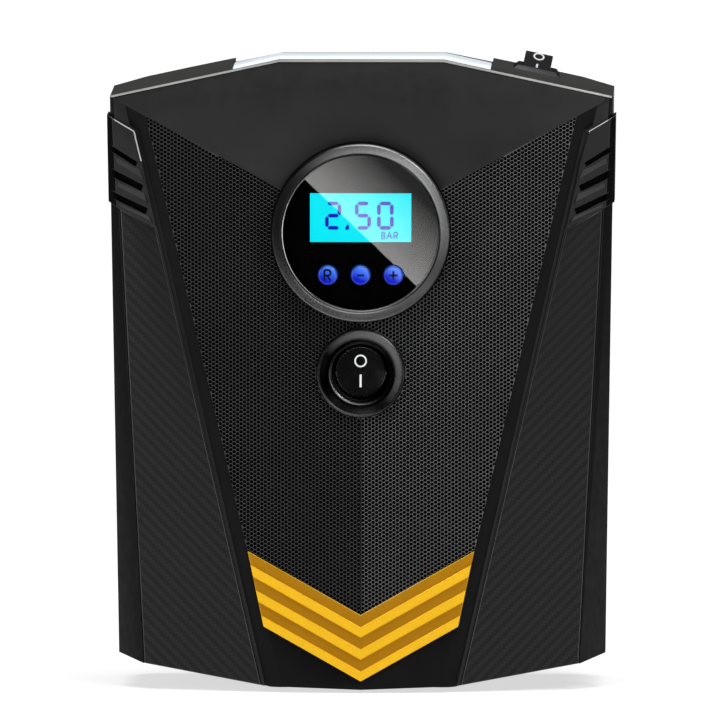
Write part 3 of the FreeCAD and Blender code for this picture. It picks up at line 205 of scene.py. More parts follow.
def carbon_weave(name, hand):
    """Two-by-two twill: each bundle floats over two and under two, a step further in each row."""
    made = Shader(name, (0.02, 0.02, 0.022), 0.42, specular=0.13)
    axes = made.axes()
    tow = 0.85 * MM
    across = made.math("DIVIDE", made.math("MULTIPLY", axes["X"], hand), tow)
    up = made.math("DIVIDE", axes["Z"], tow)
    column = made.math("FLOOR", across)
    row = made.math("FLOOR", up)
    phase = made.math("FLOORED_MODULO", made.math("SUBTRACT", column, row), 4.0)
    warp = made.math("LESS_THAN", phase, 1.5)
    u = made.math("SUBTRACT", made.math("FRACT", across), 0.5)
    v = made.math("SUBTRACT", made.math("FRACT", up), 0.5)
    crown = made.math("SUBTRACT", 1.0, made.math("ADD", made.math("MULTIPLY", u, u),
                                                 made.math("MULTIPLY", v, v)))
    fibre = made.noise(2400.0, 2.0, (1.0, 1.0, 0.2))
    tone = made.math("ADD", made.math("MULTIPLY", warp, 0.45), made.math("MULTIPLY", crown, 0.35))
    tone = made.math("ADD", tone, made.math("MULTIPLY", fibre, 0.25))
    made.feed("Base Color", made.mix(tone, (0.004, 0.004, 0.0042), (0.018, 0.018, 0.0184)))
    made.feed("Roughness", made.remap(warp, 0, 1, 0.5, 0.4))
    made.bump(crown, 0.05 * MM)
    return made.material


def sheen_ring(name, centre, dark, light, main, second, share, power=3.0, rough=0.34):
    """Dark turned metal about a line along Y at the height centre. It is painted paler towards
    two directions (degrees up from +X), which stand in for the glints of a studio's lights;
    share is the second one's part of the first."""
    made = Shader(name, light, rough, metallic=1.0, Anisotropic=0.7, Anisotropic_Rotation=0.25)
    tangent = made.node("ShaderNodeTangent", direction_type="RADIAL", axis="Y")
    made.feed("Tangent", tangent.outputs["Tangent"])
    axes = made.axes()
    rise = made.math("SUBTRACT", axes["Z"], centre * MM)
    reach = made.reach(axes["X"], rise)
    tone = None
    for toward, weight in ((main, 1.0), (second, share)):
        angle = math.radians(toward)
        along = made.math("ADD", made.math("MULTIPLY", axes["X"], math.cos(angle)),
                          made.math("MULTIPLY", rise, math.sin(angle)))
        facing_it = made.math("MAXIMUM", made.math("DIVIDE", along, reach), 0.0)
        lobe = made.math("MULTIPLY", made.math("POWER", facing_it, power), weight)
        tone = lobe if tone is None else made.math("ADD", tone, lobe)
    lines = made.noise(1500.0, 4.0)
    tone = made.math("MULTIPLY", tone, made.spread(lines, 0.85, 1.12))
    made.feed("Base Color", made.mix(tone, dark, light))
    made.feed("Roughness", made.spread(lines, rough - 0.06, rough + 0.08))
    made.bump(lines, 0.003 * MM)
    return made.material


def grey(level):
    return (level, level, level * 1.01)


def gold_paint(name, color, roughness):
    """Metallic lacquer with fine flakes."""
    made = Shader(name, color, roughness, metallic=0.35, specular=0.2, Coat_Weight=0.1)
    made.set("Coat Roughness", 0.25)
    flake = made.noise(3000.0, 2.0)
    made.tint(flake, scaled(color, 0.88), color, 0.35)
    made.feed("Roughness", made.spread(made.noise(260.0), roughness - 0.06, roughness + 0.08))
    made.bump(flake, 0.006 * MM)
    return made.material


def opal_lens():
    """The work light's milky window, with fine ribs across it; its faint emission brightens it:
    painted light.
    """
    rib_pitch = 1.5 * MM
    made = Shader("opal_lens", (0.86, 0.9, 0.96), 0.28, specular=0.45, Coat_Weight=0.3)
    made.set("Emission Color", (0.9, 0.95, 1.0, 1.0))
    made.set("Emission Strength", 0.6)
    made.tint(made.noise(120.0, 4.0), (0.78, 0.83, 0.9), (0.88, 0.92, 0.97))
    axes = made.axes()
    ribs = made.math("SINE", made.math("MULTIPLY", axes["X"], 2 * math.pi / rib_pitch))
    made.bump(ribs, 0.03 * MM)
    made.set("Subsurface Weight", 0.15)
    return made.material


def glowing(name, color, strength, uneven, base=0.4):
    """A lit surface whose brightness varies slightly over it."""
    made = Shader(name, scaled(color, base), 0.25, specular=0.1)
    shade = made.noise(140.0, 2.0)
    made.feed("Emission Color", made.mix(made.spread(shade, 0, 1), scaled(color, 1 - uneven),
                                         color))
    made.set("Emission Strength", strength)
    made.feed("Roughness", made.spread(shade, 0.2, 0.3))
    return made.material


def button_glow():
    """A domed cap coloured by blue emission: deep at the lower left and paler at the upper right,
    a painted highlight, and dimming near the rim, painted shade.
    """
    made = Shader("button_glow", (0.0, 0.01, 0.12), 0.22, specular=0.5)
    axes = made.axes()
    spread = made.math("ADD", made.math("DIVIDE", axes["X"], BUTTON_PITCH * MM), 0.5)
    spread = made.math("FRACT", spread)
    across = made.math("MULTIPLY", made.math("SUBTRACT", spread, 0.5), BUTTON_PITCH)
    up = made.math("SUBTRACT", made.math("DIVIDE", axes["Z"], MM), BUTTON_Z)
    reach = made.reach(across, up)
    lean = made.math("ADD", made.math("MULTIPLY", across, 0.45), up)
    lean = made.math("ADD", lean, made.spread(made.noise(600.0), -0.3, 0.3))
    shade = made.mix(made.remap(lean, -1.6, 2.4, 0, 1), (0.0, 0.0, 0.5), (0.05, 0.2, 0.9))
    fade = made.remap(reach, 2.2, 3.0, 1.0, 0.05)
    dim = made.node("ShaderNodeVectorMath", operation="SCALE")
    made.link(shade, dim.inputs[0])
    made.link(fade, dim.inputs["Scale"])
    made.feed("Emission Color", dim.outputs["Vector"])
    made.set("Emission Strength", 1.0)
    return made.material


def ink(name, color, glow=0.0):
    """Printed or moulded-in marks."""
    made = Shader(name, color, 0.4, specular=0.3)
    made.tint(made.noise(900.0), scaled(color, 0.93), color)
    if glow:
        made.set("Emission Color", (*color, 1.0))
        made.set("Emission Strength", glow)
    return made.material


def clear_window():
    """A lightly smoked window: mostly see-through, with a stronger gloss than glass has."""
    made = Shader("clear_window", (0.001, 0.001, 0.0015), 0.02, specular=0.5)
    made.set("IOR", 3.5)
    made.set("Alpha", 0.12)
    haze = made.noise(70.0, 4.0)
    made.feed("Base Color", made.mix(haze, (0.0008, 0.0008, 0.0012), (0.0015, 0.0015, 0.002)))
    return made.material


# Grained surfaces: name, colour, roughness, specular level, scale and depth (mm) of the grain.
GRAINED = {
    "shell": ("shell_grain", (0.02, 0.02, 0.0205), 0.5, 0.2, 2600.0, 0.03),
    # Paler copy of the shell for its faces that look up: painted light.
    "shell_top_painted_light": ("shell_top_painted_light", (0.052, 0.052, 0.05), 0.45, 0.35, 1500.0, 0.04),
    "panel": ("panel_satin", (0.0185, 0.0185, 0.019), 0.45, 0.2, 3200.0, 0.015),
    # Darker copy of the panel for its faces that don't look up: painted shade.
    "panel_painted_shade": ("panel_border_painted_shade", (0.0048, 0.0048, 0.005), 0.45, 0.07, 3200.0, 0.01),
    # Near-black copy of the shell for its side faces at the front: painted shade.
    "strip": ("shell_side_painted_shade", (0.003, 0.003, 0.0032), 0.5, 0.05, 2600.0, 0.01),
    # Paler, glossier colour for rounded edges: painted highlight.
    "edge": ("painted_edge_highlight", (0.05, 0.05, 0.05), 0.34, 0.5, 2600.0, 0.01),
    # Bright grey for the grips' upper edges: painted highlight.
    "rim": ("painted_rim_highlight", (0.5, 0.5, 0.5), 0.3, 0.6, 2600.0, 0.01),
    "wire": ("mesh_wire", (0.07, 0.07, 0.072), 0.32, 0.5, 2600.0, 0.01),
    # Darker copy of the wire for the left mesh: painted shade.
    "wire_painted_shade": ("mesh_wire_painted_shade", (0.03, 0.03, 0.031), 0.36, 0.3, 2600.0, 0.01),
    # Near-black for slots, mesh cells, the groove beside the panel and the ring round the gauge:
    # painted shade.
    "pit": ("painted_shade_black", (0.003, 0.003, 0.003), 0.8, 0.02, 2600.0, 0.03),
    "rubber": ("grip_rubber", (0.013, 0.013, 0.0133), 0.55, 0.2, 1800.0, 0.04),
    # Paler copy of the rubber for the ridges' upward facets: painted light.
    "rubber_painted_light": ("grip_ridge", (0.032, 0.032, 0.033), 0.5, 0.25, 1800.0, 0.03),
    "gloss": ("gloss_black", (0.004, 0.004, 0.0045), 0.16, 0.45, 300.0, 0.004),
    "mask": ("mask_print", (0.0012, 0.0012, 0.0015), 0.5, 0.0, 2600.0, 0.004),
    "satin": ("satin_black", (0.012, 0.012, 0.013), 0.4, 0.3, 2600.0, 0.03),
    "ferrite": ("sintered_ferrite", (0.03, 0.03, 0.03), 0.6, 0.2, 2600.0, 0.03),
    "nylon": ("natural_nylon", (0.75, 0.73, 0.66), 0.4, 0.4, 2600.0, 0.03),
    "board": ("solder_mask", (0.01, 0.08, 0.03), 0.3, 0.45, 2600.0, 0.03),
}
MATERIALS = {key: grained(*look) for key, look in GRAINED.items()}
MATERIALS |= {
    "shell_rear": pale_topped("shell_rear", (0.02, 0.02, 0.0205), (0.055, 0.055, 0.053)),
    "carbon_right": carbon_weave("carbon_right", 1.0),
    "carbon_left": carbon_weave("carbon_left", -1.0),
    "ring": sheen_ring("gauge_metal", GAUGE_Z, grey(0.018), grey(0.4), 52, 262, 0.5, 2.2),
    "lip": sheen_ring("gauge_lip", GAUGE_Z, grey(0.03), grey(0.9), 165, 285, 0.45, 2.0, 0.2),
    "collar": sheen_ring("collar_metal", SWITCH_Z, grey(0.02), grey(0.17), 60, 240, 0.4, 2.0),
    # The funnel's near-black base is painted shade.
    "funnel": sheen_ring("funnel_metal", SWITCH_Z, grey(0.003), grey(0.13), 60, 330, 0.2, 1.0),
    "barrel": sheen_ring("barrel_lip", SWITCH_Z, grey(0.003), grey(0.3), 232, 110, 0.06, 3.0,
                         0.25),
    "rocker_lip": sheen_ring("rocker_lip", SWITCH_Z, grey(0.004), grey(0.35), 115, 190, 0.15,
                             3.0, 0.25),
    "gold": gold_paint("gold_bright", (0.98, 0.55, 0.006), 0.36),
    # Darker copy of the gold for the chevrons' low facets: painted shade.
    "shaded_gold": gold_paint("gold_painted_shade", (0.52, 0.235, 0.001), 0.45),
    # Pale grey on the top trim: a painted highlight along the case's top edge.
    "silver": grained("silver_line", (0.42, 0.42, 0.41), 0.45, 0.5, 2600.0, 0.004,
                      Metallic=0.35),
    "lens": opal_lens(),
    "lcd": glowing("lcd_backlight", (0.002, 0.76, 0.86), 1.32, 0.05, base=0.12),
    "digit": ink("lcd_digit", (0.0, 0.0, 0.3), 1.2),
    "button": button_glow(),
    "button_mark": ink("button_mark", (0.0, 0.0, 0.012)),
    "white_mark": ink("white_mark", (0.9, 0.9, 0.9)),
    "window": clear_window(),
    "steel": metal("zinc_steel", (0.58, 0.58, 0.57), 0.34, (1, 1, 6)),
    "ground": metal("ground_steel", (0.5, 0.5, 0.52), 0.2, (8, 1, 1)),
    "cast": metal("cast_aluminium", (0.66, 0.67, 0.68), 0.5, scale=2400.0, depth=0.03),
    "brass": metal("turned_brass", (0.78, 0.57, 0.22), 0.26, (1, 8, 1)),
    "bronze": metal("sintered_bronze", (0.5, 0.3, 0.14), 0.5, scale=3000.0, depth=0.02),
    "led": glowing("led_package", (1.0, 0.97, 0.85), 0.4, 0.1),
}


# ---------------------------------------------------------------- mesh helpers


def body_of(node):
    for body, members in frame["record"]["behaviour"]["bodies"].items():
        if node in members:
            return body
    raise KeyError(node)


def finish_piece(piece, node, hides=True):
    """A piece takes its body from the CAD node that it stands for or belongs to."""
    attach(piece, body_of(node))
    if hides:
        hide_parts(node)
    return piece


def placed(name, data):
    made = bpy.data.objects.new(name, data)
    bpy.context.scene.collection.objects.link(made)
    return made


def link_mesh(name, data, keys, smooth=35.0):
    for key in keys:
        data.materials.append(MATERIALS[key])
    piece = placed(name, data)
    if smooth:
        data.shade_smooth()
        data.set_sharp_from_angle(angle=math.radians(smooth))
    return piece


def mesh_from(name, vertices, faces, keys, smooth=35.0, face_materials=None):
    data = bpy.data.meshes.new(name)
    data.from_pydata([tuple(v) for v in vertices], [], faces)
    if face_materials is not None:
        data.polygons.foreach_set("material_index", face_materials)
    data.update()
    return link_mesh(name, data, keys, smooth)


def rework(data, *changes):
    """Pass a mesh through bmesh, with each change made to it in turn."""
    shape = bmesh.new()
    shape.from_mesh(data)
    for change in changes:
        change(shape)
    shape.to_mesh(data)
    shape.free()


def outward(shape):
    bmesh.ops.recalc_face_normals(shape, faces=shape.faces)


def ramp(value, start, span):
    """0 up to start, 1 from a span further on, and straight in between."""
    return min(1.0, max(0.0, (value - start) / span))


def settle(spot, widen, fades):
    """A correction of the outline (millimetres): the sides' lower edge drops below the CAD's,
    most at the corners, and the flanks move out by widen, less towards the top if it fades."""
    out, height = abs(spot.x) / MM, spot.z / MM
    if out > 34.5:
        drop = 1.2 + 0.5 * (out - 36.0) / 27.0 + 1.2 * max(0.0, (out - 63.0) / 9.0)
        spot.z -= (1.0 - ramp(height, 16.0, 8.0)) * drop * MM
    flank = ramp(out, 62.0, 8.0)
    if fades:
        flank *= 1.0 - ramp(height, 150.0, 25.0)
    spot.x += math.copysign(flank * widen * MM, spot.x)


def notched(data, outlines):
    """A copy of a mesh with prisms taken out of it."""
    whole = placed("whole", data.copy())
    tool = placed("tool", prisms(outlines))
    change = whole.modifiers.new("notch", "BOOLEAN")
    change.operation = "DIFFERENCE"
    change.solver = "EXACT"
    change.object = tool
    bpy.context.view_layer.update()
    depsgraph = bpy.context.evaluated_depsgraph_get()
    data = bpy.data.meshes.new_from_object(whole.evaluated_get(depsgraph))
    bpy.data.objects.remove(whole)
    bpy.data.objects.remove(tool)
    return data


ROUNDED = 9  # material index that marks rounded edges until edge_look has named their looks


def softened(name, node, keys, width, angle=20.0, segments=2, classify=None, edge_look=None,
             cut=(), widen=None, fades=False, lift=0.0, back=0.0):
    """A CAD node's shape with its coplanar faces joined and its edges rounded. classify gives the
    index of a face's look from its centre (millimetres) and normal, edge_look that of a rounded
    edge from its centre, cut holds prisms to take away, widen and fades are for settle, and lift
    and back shift the shape."""
    data = NODES[node].data
    if cut:
        data = notched(data, cut)
    shape = bmesh.new()
    shape.from_mesh(data)
    bmesh.ops.remove_doubles(shape, verts=shape.verts, dist=1e-6)
    bmesh.ops.dissolve_limit(shape, angle_limit=math.radians(0.6), verts=shape.verts,
                             edges=shape.edges)
    for face in shape.faces:
        centre = face.calc_center_median() / MM
        face.material_index = classify(centre, face.normal) if classify else 0
    edges = [item for item in shape.edges
             if len(item.link_faces) == 2 and item.calc_face_angle() > math.radians(angle)]
    bmesh.ops.bevel(shape, geom=edges, offset=width, segments=segments, profile=0.5,
                    affect="EDGES", clamp_overlap=True, material=ROUNDED if edge_look else -1)
    large = 30.0 * MM * MM
    for face in shape.faces:
        face.smooth = face.calc_area() < large
        if face.material_index == ROUNDED:
            face.material_index = edge_look(face.calc_center_median() / MM)
    for vertex in shape.verts:
        if widen is not None:
            settle(vertex.co, widen, fades)
        vertex.co.z += lift
        vertex.co.y += back
    made = bpy.data.meshes.new(name)
    shape.to_mesh(made)
    shape.free()
    for layer in [item.name for item in made.attributes if "normal" in item.name]:
        made.attributes.remove(made.attributes[layer])
    finish_piece(link_mesh(name, made, keys, None), node)
    made.set_sharp_from_angle(angle=math.radians(28.0))


def prisms(outlines):
    """Cutters along Y through closed (x, z) outlines, as deep as their last item says."""
    ahead = -0.045
    made = bmesh.new()
    for outline, depth in outlines:
        front = [made.verts.new((x * MM, ahead, z * MM)) for x, z in outline]
        back = [made.verts.new((x * MM, (side_y(abs(x), z) + depth) * MM, z * MM))
                for x, z in outline]
        made.faces.new(front)
        made.faces.new(back[::-1])
        for k in range(len(outline)):
            n = (k + 1) % len(outline)
            made.faces.new((front[n], front[k], back[k], back[n]))
    outward(made)
    data = bpy.data.meshes.new("prisms")
    made.to_mesh(data)
    made.free()
    return data


def rounded(corners, radius):
    """An open profile whose inner corners are replaced by arcs."""
    steps = 3
    points = [corners[0]]
    for before, corner, after in zip(corners, corners[1:], corners[2:]):
        corner = Vector(corner)
        back = Vector(before) - corner
        ahead = Vector(after) - corner
        cut = min(radius, back.length * 0.45, ahead.length * 0.45)
        start = corner + back.normalized() * cut
        end = corner + ahead.normalized() * cut
        for step in range(steps + 1):
            t = step / steps
            points.append(tuple(start * (1 - t) ** 2 + corner * 2 * t * (1 - t) + end * t ** 2))
    points.append(corners[-1])
    return points


def lathe(name, profile, centre, keys):
    """A turned surface about a line along Y: profile points are (radius, y)."""
    segments = 160
    rows = len(profile)
    vertices = []
    for step in range(segments):
        angle = 2 * math.pi * step / segments
        for radius, y in profile:
            vertices.append((centre[0] + radius * math.cos(angle), y,
                             centre[1] + radius * math.sin(angle)))
    faces = []
    for step in range(segments):
        a = step * rows
        b = (step + 1) % segments * rows
        for row in range(rows - 1):
            faces.append((a + row, a + row + 1, b + row + 1, b + row))
    piece = mesh_from(name, vertices, faces, keys, 40.0)
    rework(piece.data, lambda shape: bmesh.ops.remove_doubles(shape, verts=shape.verts, dist=1e-7),
           outward)
    return piece


# ---------------------------------------------------------------- stage, light and camera

def area_light(name, spot, target, size, power):
    data = bpy.data.lights.new(name, "AREA")
    data.shape = "RECTANGLE"
    data.size, data.size_y = size
    data.energy = power
    light = placed(name, data)
    light.location = spot
    light.rotation_euler = (Vector(target) - Vector(spot)).to_track_quat("-Z", "Y").to_euler()


def sun(name, direction, strength, angle):
    data = bpy.data.lights.new(name, "SUN")
    data.energy = strength
    data.angle = math.radians(angle)
    light = placed(name, data)
    light.rotation_euler = Vector(direction).to_track_quat("-Z", "Y").to_euler()


def make_stage():
    """A pale floor, a world that is white to the camera but gives little light, and the lamps."""
    world = bpy.data.worlds.new("studio")
    world.use_nodes = True
    sky = world.node_tree.nodes["Background"]
    path = world.node_tree.nodes.new("ShaderNodeLightPath")
    level = world.node_tree.nodes.new("ShaderNodeMapRange")
    level.inputs["To Min"].default_value = 0.0175
    level.inputs["To Max"].default_value = 1.0
    sky.inputs["Color"].default_value = (1, 1, 1, 1)
    world.node_tree.links.new(path.outputs["Is Camera Ray"], level.inputs["Value"])
    world.node_tree.links.new(level.outputs["Result"], sky.inputs["Strength"])
    bpy.context.scene.world = world
    floor_half = 60.0
    corners = [(-floor_half, -floor_half, 0), (floor_half, -floor_half, 0),
               (floor_half, floor_half, 0), (-floor_half, floor_half, 0)]
    floor_shader = Shader("studio_floor", (0.55, 0.55, 0.55), 0.9, specular=0.0)
    floor_shader.set("Emission Color", (1, 1, 1, 1))
    floor_shader.set("Emission Strength", 0.66)
    data = bpy.data.meshes.new("studio_floor")
    data.from_pydata(corners, [], [(0, 1, 2, 3)])
    data.materials.append(floor_shader.material)
    placed("studio_floor", data)
    sun("top_sun", (0.0, 0.15, -1.0), 2.3, 50)
    area_light("key", (0.55, -0.75, 0.75), (0, 0, 0.1), (0.35, 0.35), 3.6)
    area_light("fill", (-0.8, -0.6, 0.4), (0, 0, 0.1), (0.3, 0.6), 2.0)


def make_card():
    """What the gauge's flat window mirrors: black, and a pale sheet that starts at a diagonal."""
    half, front, low, top = 0.04, -0.1, 0.075, 0.172
    across, up = 0.6915, 0.7224  # the direction in which the sheet fades
    data = bpy.data.meshes.new("window_card")
    data.from_pydata([(-half, front, low), (half, front, low), (half, front, top),
                      (-half, front, top)], [], [(0, 1, 2, 3)])
    made = Shader("window_card", (0, 0, 0), 1.0, specular=0.0)
    axes = made.axes()
    along = made.math("ADD", made.math("MULTIPLY", axes["X"], across),
                      made.math("MULTIPLY", axes["Z"], up))
    start = across * -0.0174 + up * 0.1503
    lit = made.math("GREATER_THAN", along, start)
    fade = made.remap(along, start, start + 0.02, 1.0, 0.08)
    high = made.remap(axes["Z"], 0.105, 0.11, 0.0, 1.0)
    level = made.math("MULTIPLY", made.math("MULTIPLY", lit, fade), high)
    made.feed("Emission Strength", made.math("MULTIPLY", level, 4.0))
    made.set("Emission Color", (1.0, 0.98, 0.97, 1.0))
    data.materials.append(made.material)
    card = placed("window_card", data)
    for ray in ("camera", "diffuse", "shadow", "transmission"):
        setattr(card, "visible_" + ray, False)


def make_camera():
    """A long lens from nearly straight ahead, a little above."""
    azimuth = math.radians(1.0)
    elevation = math.radians(3.95)
    distance = 9.5
    view_width = 0.216
    sensor = 36.0
    target = Vector((-0.0002, -0.036, 0.1003))
    back = Vector((math.sin(azimuth) * math.cos(elevation),
                   -math.cos(azimuth) * math.cos(elevation), math.sin(elevation)))
    data = bpy.data.cameras.new("camera")
    data.sensor_width = sensor
    data.lens = sensor * distance / view_width
    data.clip_end = 200.0
    camera = placed("camera", data)
    camera.location = target + back * distance
    camera.rotation_euler = (-back).to_track_quat("-Z", "Y").to_euler()
    bpy.context.scene.camera = camera
    bpy.context.scene.view_settings.view_transform = "Standard"


make_stage()
make_card()
make_camera()

CASE_LOOKS = {
    "shell": "front_shell",
    "shell_rear": "rear_shell",
    "panel": "front_panel",
    "wire": "mesh_left mesh_right",
    "gold": "chevron_trim",
    "carbon_left": "side_panel_left",
    "carbon_right": "side_panel_right",
    "rubber": "grip_left grip_right feet cord_gland piston_seal pump_mounts air_hose",
    "silver": "top_trim",
    "satin": "light_bezel gauge_housing tact_switches light_switch_body light_switch_rocker "
             "motor_end_cap",
    "lens": "light_lens",
    "board": "light_board gauge_board",
    "led": "light_leds",
    "ring": "gauge_bezel",
    "window": "gauge_lens",
    "mask": "gauge_mask",
    "lcd": "lcd_module",
    "button": "button_reset button_minus button_plus",
    "collar": "switch_collar",
    "gloss": "main_switch_body main_switch_rocker",
    "steel": "main_switch_terminals light_switch_terminals case_screws motor_can counterweight "
             "head_screws valve_spring gear_frame motor_screws",
    "brass": "outlet_fitting motor_pinion valve_poppet",
    "ground": "motor_rotor gear_axle crank_pin crank_bearing",
    "bronze": "motor_bushes",
    "ferrite": "motor_magnets motor_brushes",
    "nylon": "drive_gear",
    "cast": "connecting_rod cylinder cylinder_head",
}
for key, nodes in CASE_LOOKS.items():
    for node in nodes.split():
        data = NODES[node].data
        data.materials.clear()
        data.materials.append(MATERIALS[key])


# ---------------------------------------------------------------- softened case pieces

SIDE_FRONT, SIDE_LEAN, SIDE_RISE, GRIP_PROUD = 32.178, 0.3, 0.04641, 0.627


def groove_x(z):
    """Half width at which the groove beside the front panel runs."""
    return GROOVE_LOW_HALF + GROOVE_LEAN * (z - GROOVE_LOW_Z)


def side_y(x, z):
    """Y of the grip's outer face, which stands proud of the side panel's plane."""
    return (-SIDE_FRONT + SIDE_LEAN * (x - GROOVE_LOW_HALF) - SIDE_RISE * (z - GROOVE_LOW_Z)
            - GRIP_PROUD)


def shell_look(spot, normal):
    """Black in the groove beside the panel and near-black on the outer strips, both painted shade;
    the faces that look up paler, painted light.
    """
    if abs(abs(spot.x) - groove_x(spot.z)) < 1.6 and spot.y < -5 and spot.z < 169:
        return 2
    if normal.z > 0.5:
        return 3
    return 1 if spot.y < -3 and abs(normal.x) > 0.3 else 0


def panel_look(spot, normal):
    """The upper shield, which looks up, keeps the satin colour; the border bands and the sole get
    a darker copy: painted shade.
    """
    return 0 if normal.z > 0.1 and normal.y < -0.8 else 1


def in_outline(outline, x, z):
    """Whether a point is to the left of each side of an outline that runs anticlockwise."""
    return all((x2 - x1) * (z - z1) - (z2 - z1) * (x - x1) > -0.05
               for (x1, z1), (x2, z2) in zip(outline, outline[1:] + outline[:1]))


def grip_look(spot, normal=None):
    """The floors and walls of the slots get black: painted shade."""
    return 1 if any(in_outline(slot, abs(spot.x), spot.z) for slot in GRIP_SLOTS) else 0


def near_line(spot, start, end, reach):
    """Whether a point is within reach of the line from start to end, on either hand."""
    x, z = abs(spot.x) - start[0], spot.z - start[1]
    dx, dz = end[0] - start[0], end[1] - start[1]
    long = math.hypot(dx, dz)
    along = (x * dx + z * dz) / long
    return abs(x * dz - z * dx) / long < reach and -0.4 < along < long + 0.4


def grip_edge(spot):
    """Rounded edges: the upper edge gets a bright painted highlight, the other edges a paler one,
    and the slots' mouths black, painted shade.
    """
    corner = (68.4, 168.85)
    in_front = spot.y < -22
    if in_front and near_line(spot, corner, (77.0, 173.75), 0.55):
        return 3
    if in_front and spot.x < 0 and near_line(spot, corner, (65.6, 159.3), 0.7):
        return 3
    return grip_look(spot) or 2


GRIP_SLOT_DEPTH = 1.35
GRIP_SLOTS = [
    [(80.0, 166.9), (74.2, 163.9), (66.8, 159.3), (67.5, 157.9), (72.7, 161.2), (80.0, 165.0)],
    [(80.0, 160.0), (73.8, 156.8), (65.2, 152.4), (65.8, 150.5), (72.8, 153.9), (80.0, 157.5)],
    [(80.0, 153.4), (73.4, 149.9), (63.9, 145.4), (64.6, 143.5), (72.3, 147.3), (80.0, 151.0)],
]
for node, keys, width, settings in (
        ("front_shell", ["shell", "strip", "pit", "shell_top_painted_light"], 0.35,
         {"classify": shell_look, "widen": 0.3, "fades": True}),
        ("front_panel", ["panel", "panel_painted_shade"], 0.15, {"classify": panel_look}),
        ("top_trim", ["silver"], 0.12, {"widen": 1.3}),
        ("light_bezel", ["satin"], 0.2, {"lift": -0.9 * MM}),
        ("light_lens", ["lens"], 0.25, {"lift": -0.9 * MM}),
        ("light_switch_body", ["satin"], 0.25, {"lift": -1.0 * MM}),
        ("gauge_mask", ["mask"], 0.05, {"back": 0.08 * MM}),
        ("feet", ["rubber"], 0.6, {})):
    softened(node + "_soft", node, keys, width * MM, **settings)
for side, hand in (("left", -1), ("right", 1)):
    node = "side_panel_" + side
    # Their rounded edges get the paler edge colour: painted highlight.
    softened(node + "_soft", node, ["carbon_" + side, "edge"], 0.22 * MM,
             edge_look=lambda spot: 1, widen=0.0)
    node = "grip_" + side
    cuts = [([(hand * x, z) for x, z in slot], GRIP_SLOT_DEPTH) for slot in GRIP_SLOTS]
    softened(node + "_soft", node, ["rubber", "pit", "edge", "rim"], 0.22 * MM,
             classify=grip_look, edge_look=grip_edge, cut=cuts, widen=0.4)


def grip_ridges(name, node, hand):
    """Roof-like ridges between the slots: the upper facet, which looks up, gets a paler copy of
    the rubber, painted light; the lower one the rubber's own colour.
    """
    ground, sunk = 0.02, 0.2
    vertices = []
    faces = []
    kinds = []
    bands = [[(66.9, 157.4), (73.4, 161.2), (73.6, 159.0), (65.5, 154.5), (65.3, 153.2),
              (73.6, 157.4)],
             [(65.3, 150.1), (72.9, 153.6), (73.2, 151.8), (64.4, 147.6), (64.1, 146.2),
              (73.2, 150.4)],
             [(64.1, 143.1), (72.3, 146.9), (72.6, 146.0), (63.0, 141.7), (62.6, 140.6),
              (72.6, 145.3)]]
    for upper_in, upper_out, ridge_out, ridge_in, lower_in, lower_out in bands:
        base = len(vertices)
        for (x, z), lift in ((upper_in, ground), (upper_out, ground), (ridge_out, 0.3),
                             (ridge_in, 0.6), (lower_in, ground), (lower_out, ground)):
            vertices.append((hand * x * MM, (side_y(x, z) - lift) * MM, z * MM))
        for x, z in (upper_in, upper_out, lower_out, lower_in):
            vertices.append((hand * x * MM, (side_y(x, z) + sunk) * MM, z * MM))
        quads = [((0, 1, 2, 3), 0), ((3, 2, 5, 4), 1), ((0, 3, 4, 9, 6), 0), ((1, 7, 8, 5, 2), 1),
                 ((0, 6, 7, 1), 0), ((4, 5, 8, 9), 1), ((6, 9, 8, 7), 1)]
        for loop, kind in quads:
            faces.append([base + k for k in loop])
            kinds.append(kind)
    piece = mesh_from(name, vertices, faces, ["rubber_painted_light", "rubber"], None, kinds)
    rework(piece.data, outward)
    finish_piece(piece, node, hides=False)


grip_ridges("grip_ridges_right", "grip_right", 1)
grip_ridges("grip_ridges_left", "grip_left", -1)


# ---------------------------------------------------------------- honeycomb inlays

APEX_Y = -36.0
MESH_LEAN = 0.0963
MESH_QUAD = [(0.0, 138.5), (64.64, 173.08), (34.0, 42.25), (0.0, 23.5)]
MESH_SIDES = list(zip(MESH_QUAD, MESH_QUAD[1:] + MESH_QUAD[:1]))
OPENINGS = ((GAUGE_Z, 27.0), (SWITCH_Z, 13.4))
OPENING_EDGE = 0.6
CELL_PITCH = 1.2
FIRST_CELL = (0.62, 22.0)
HOLE_SHARE = 0.84
FLOOR_SHARE = 0.92
CREST = 0.07
PIT_DEPTH = 0.55
INLAY_DEPTH = 0.75
LEAST_CELL, LEAST_HOLE = 0.03, 0.45  # areas below which a cell is left out or stays closed


def past(side, x, z):
    """How far a point is outside a side of the inlay, and the side's run, rise and length."""
    (x1, z1), (x2, z2) = side
    dx, dz = x2 - x1, z2 - z1
    long = math.hypot(dx, dz)
    return (dx * (z - z1) - dz * (x - x1)) / long, dx, dz, long


def pull_in(x, z):
    """Move a corner of a cell onto the inlay's outline or round openings if it lies past them."""
    for _ in range(3):
        for side in MESH_SIDES:
            over, dx, dz, long = past(side, x, z)
            if over > 0:
                x += over * dz / long
                z -= over * dx / long
        for centre, radius in OPENINGS:
            away = math.hypot(x, z - centre)
            if away < radius:
                x *= radius / away
                z = centre + (z - centre) * radius / away
    return x, z


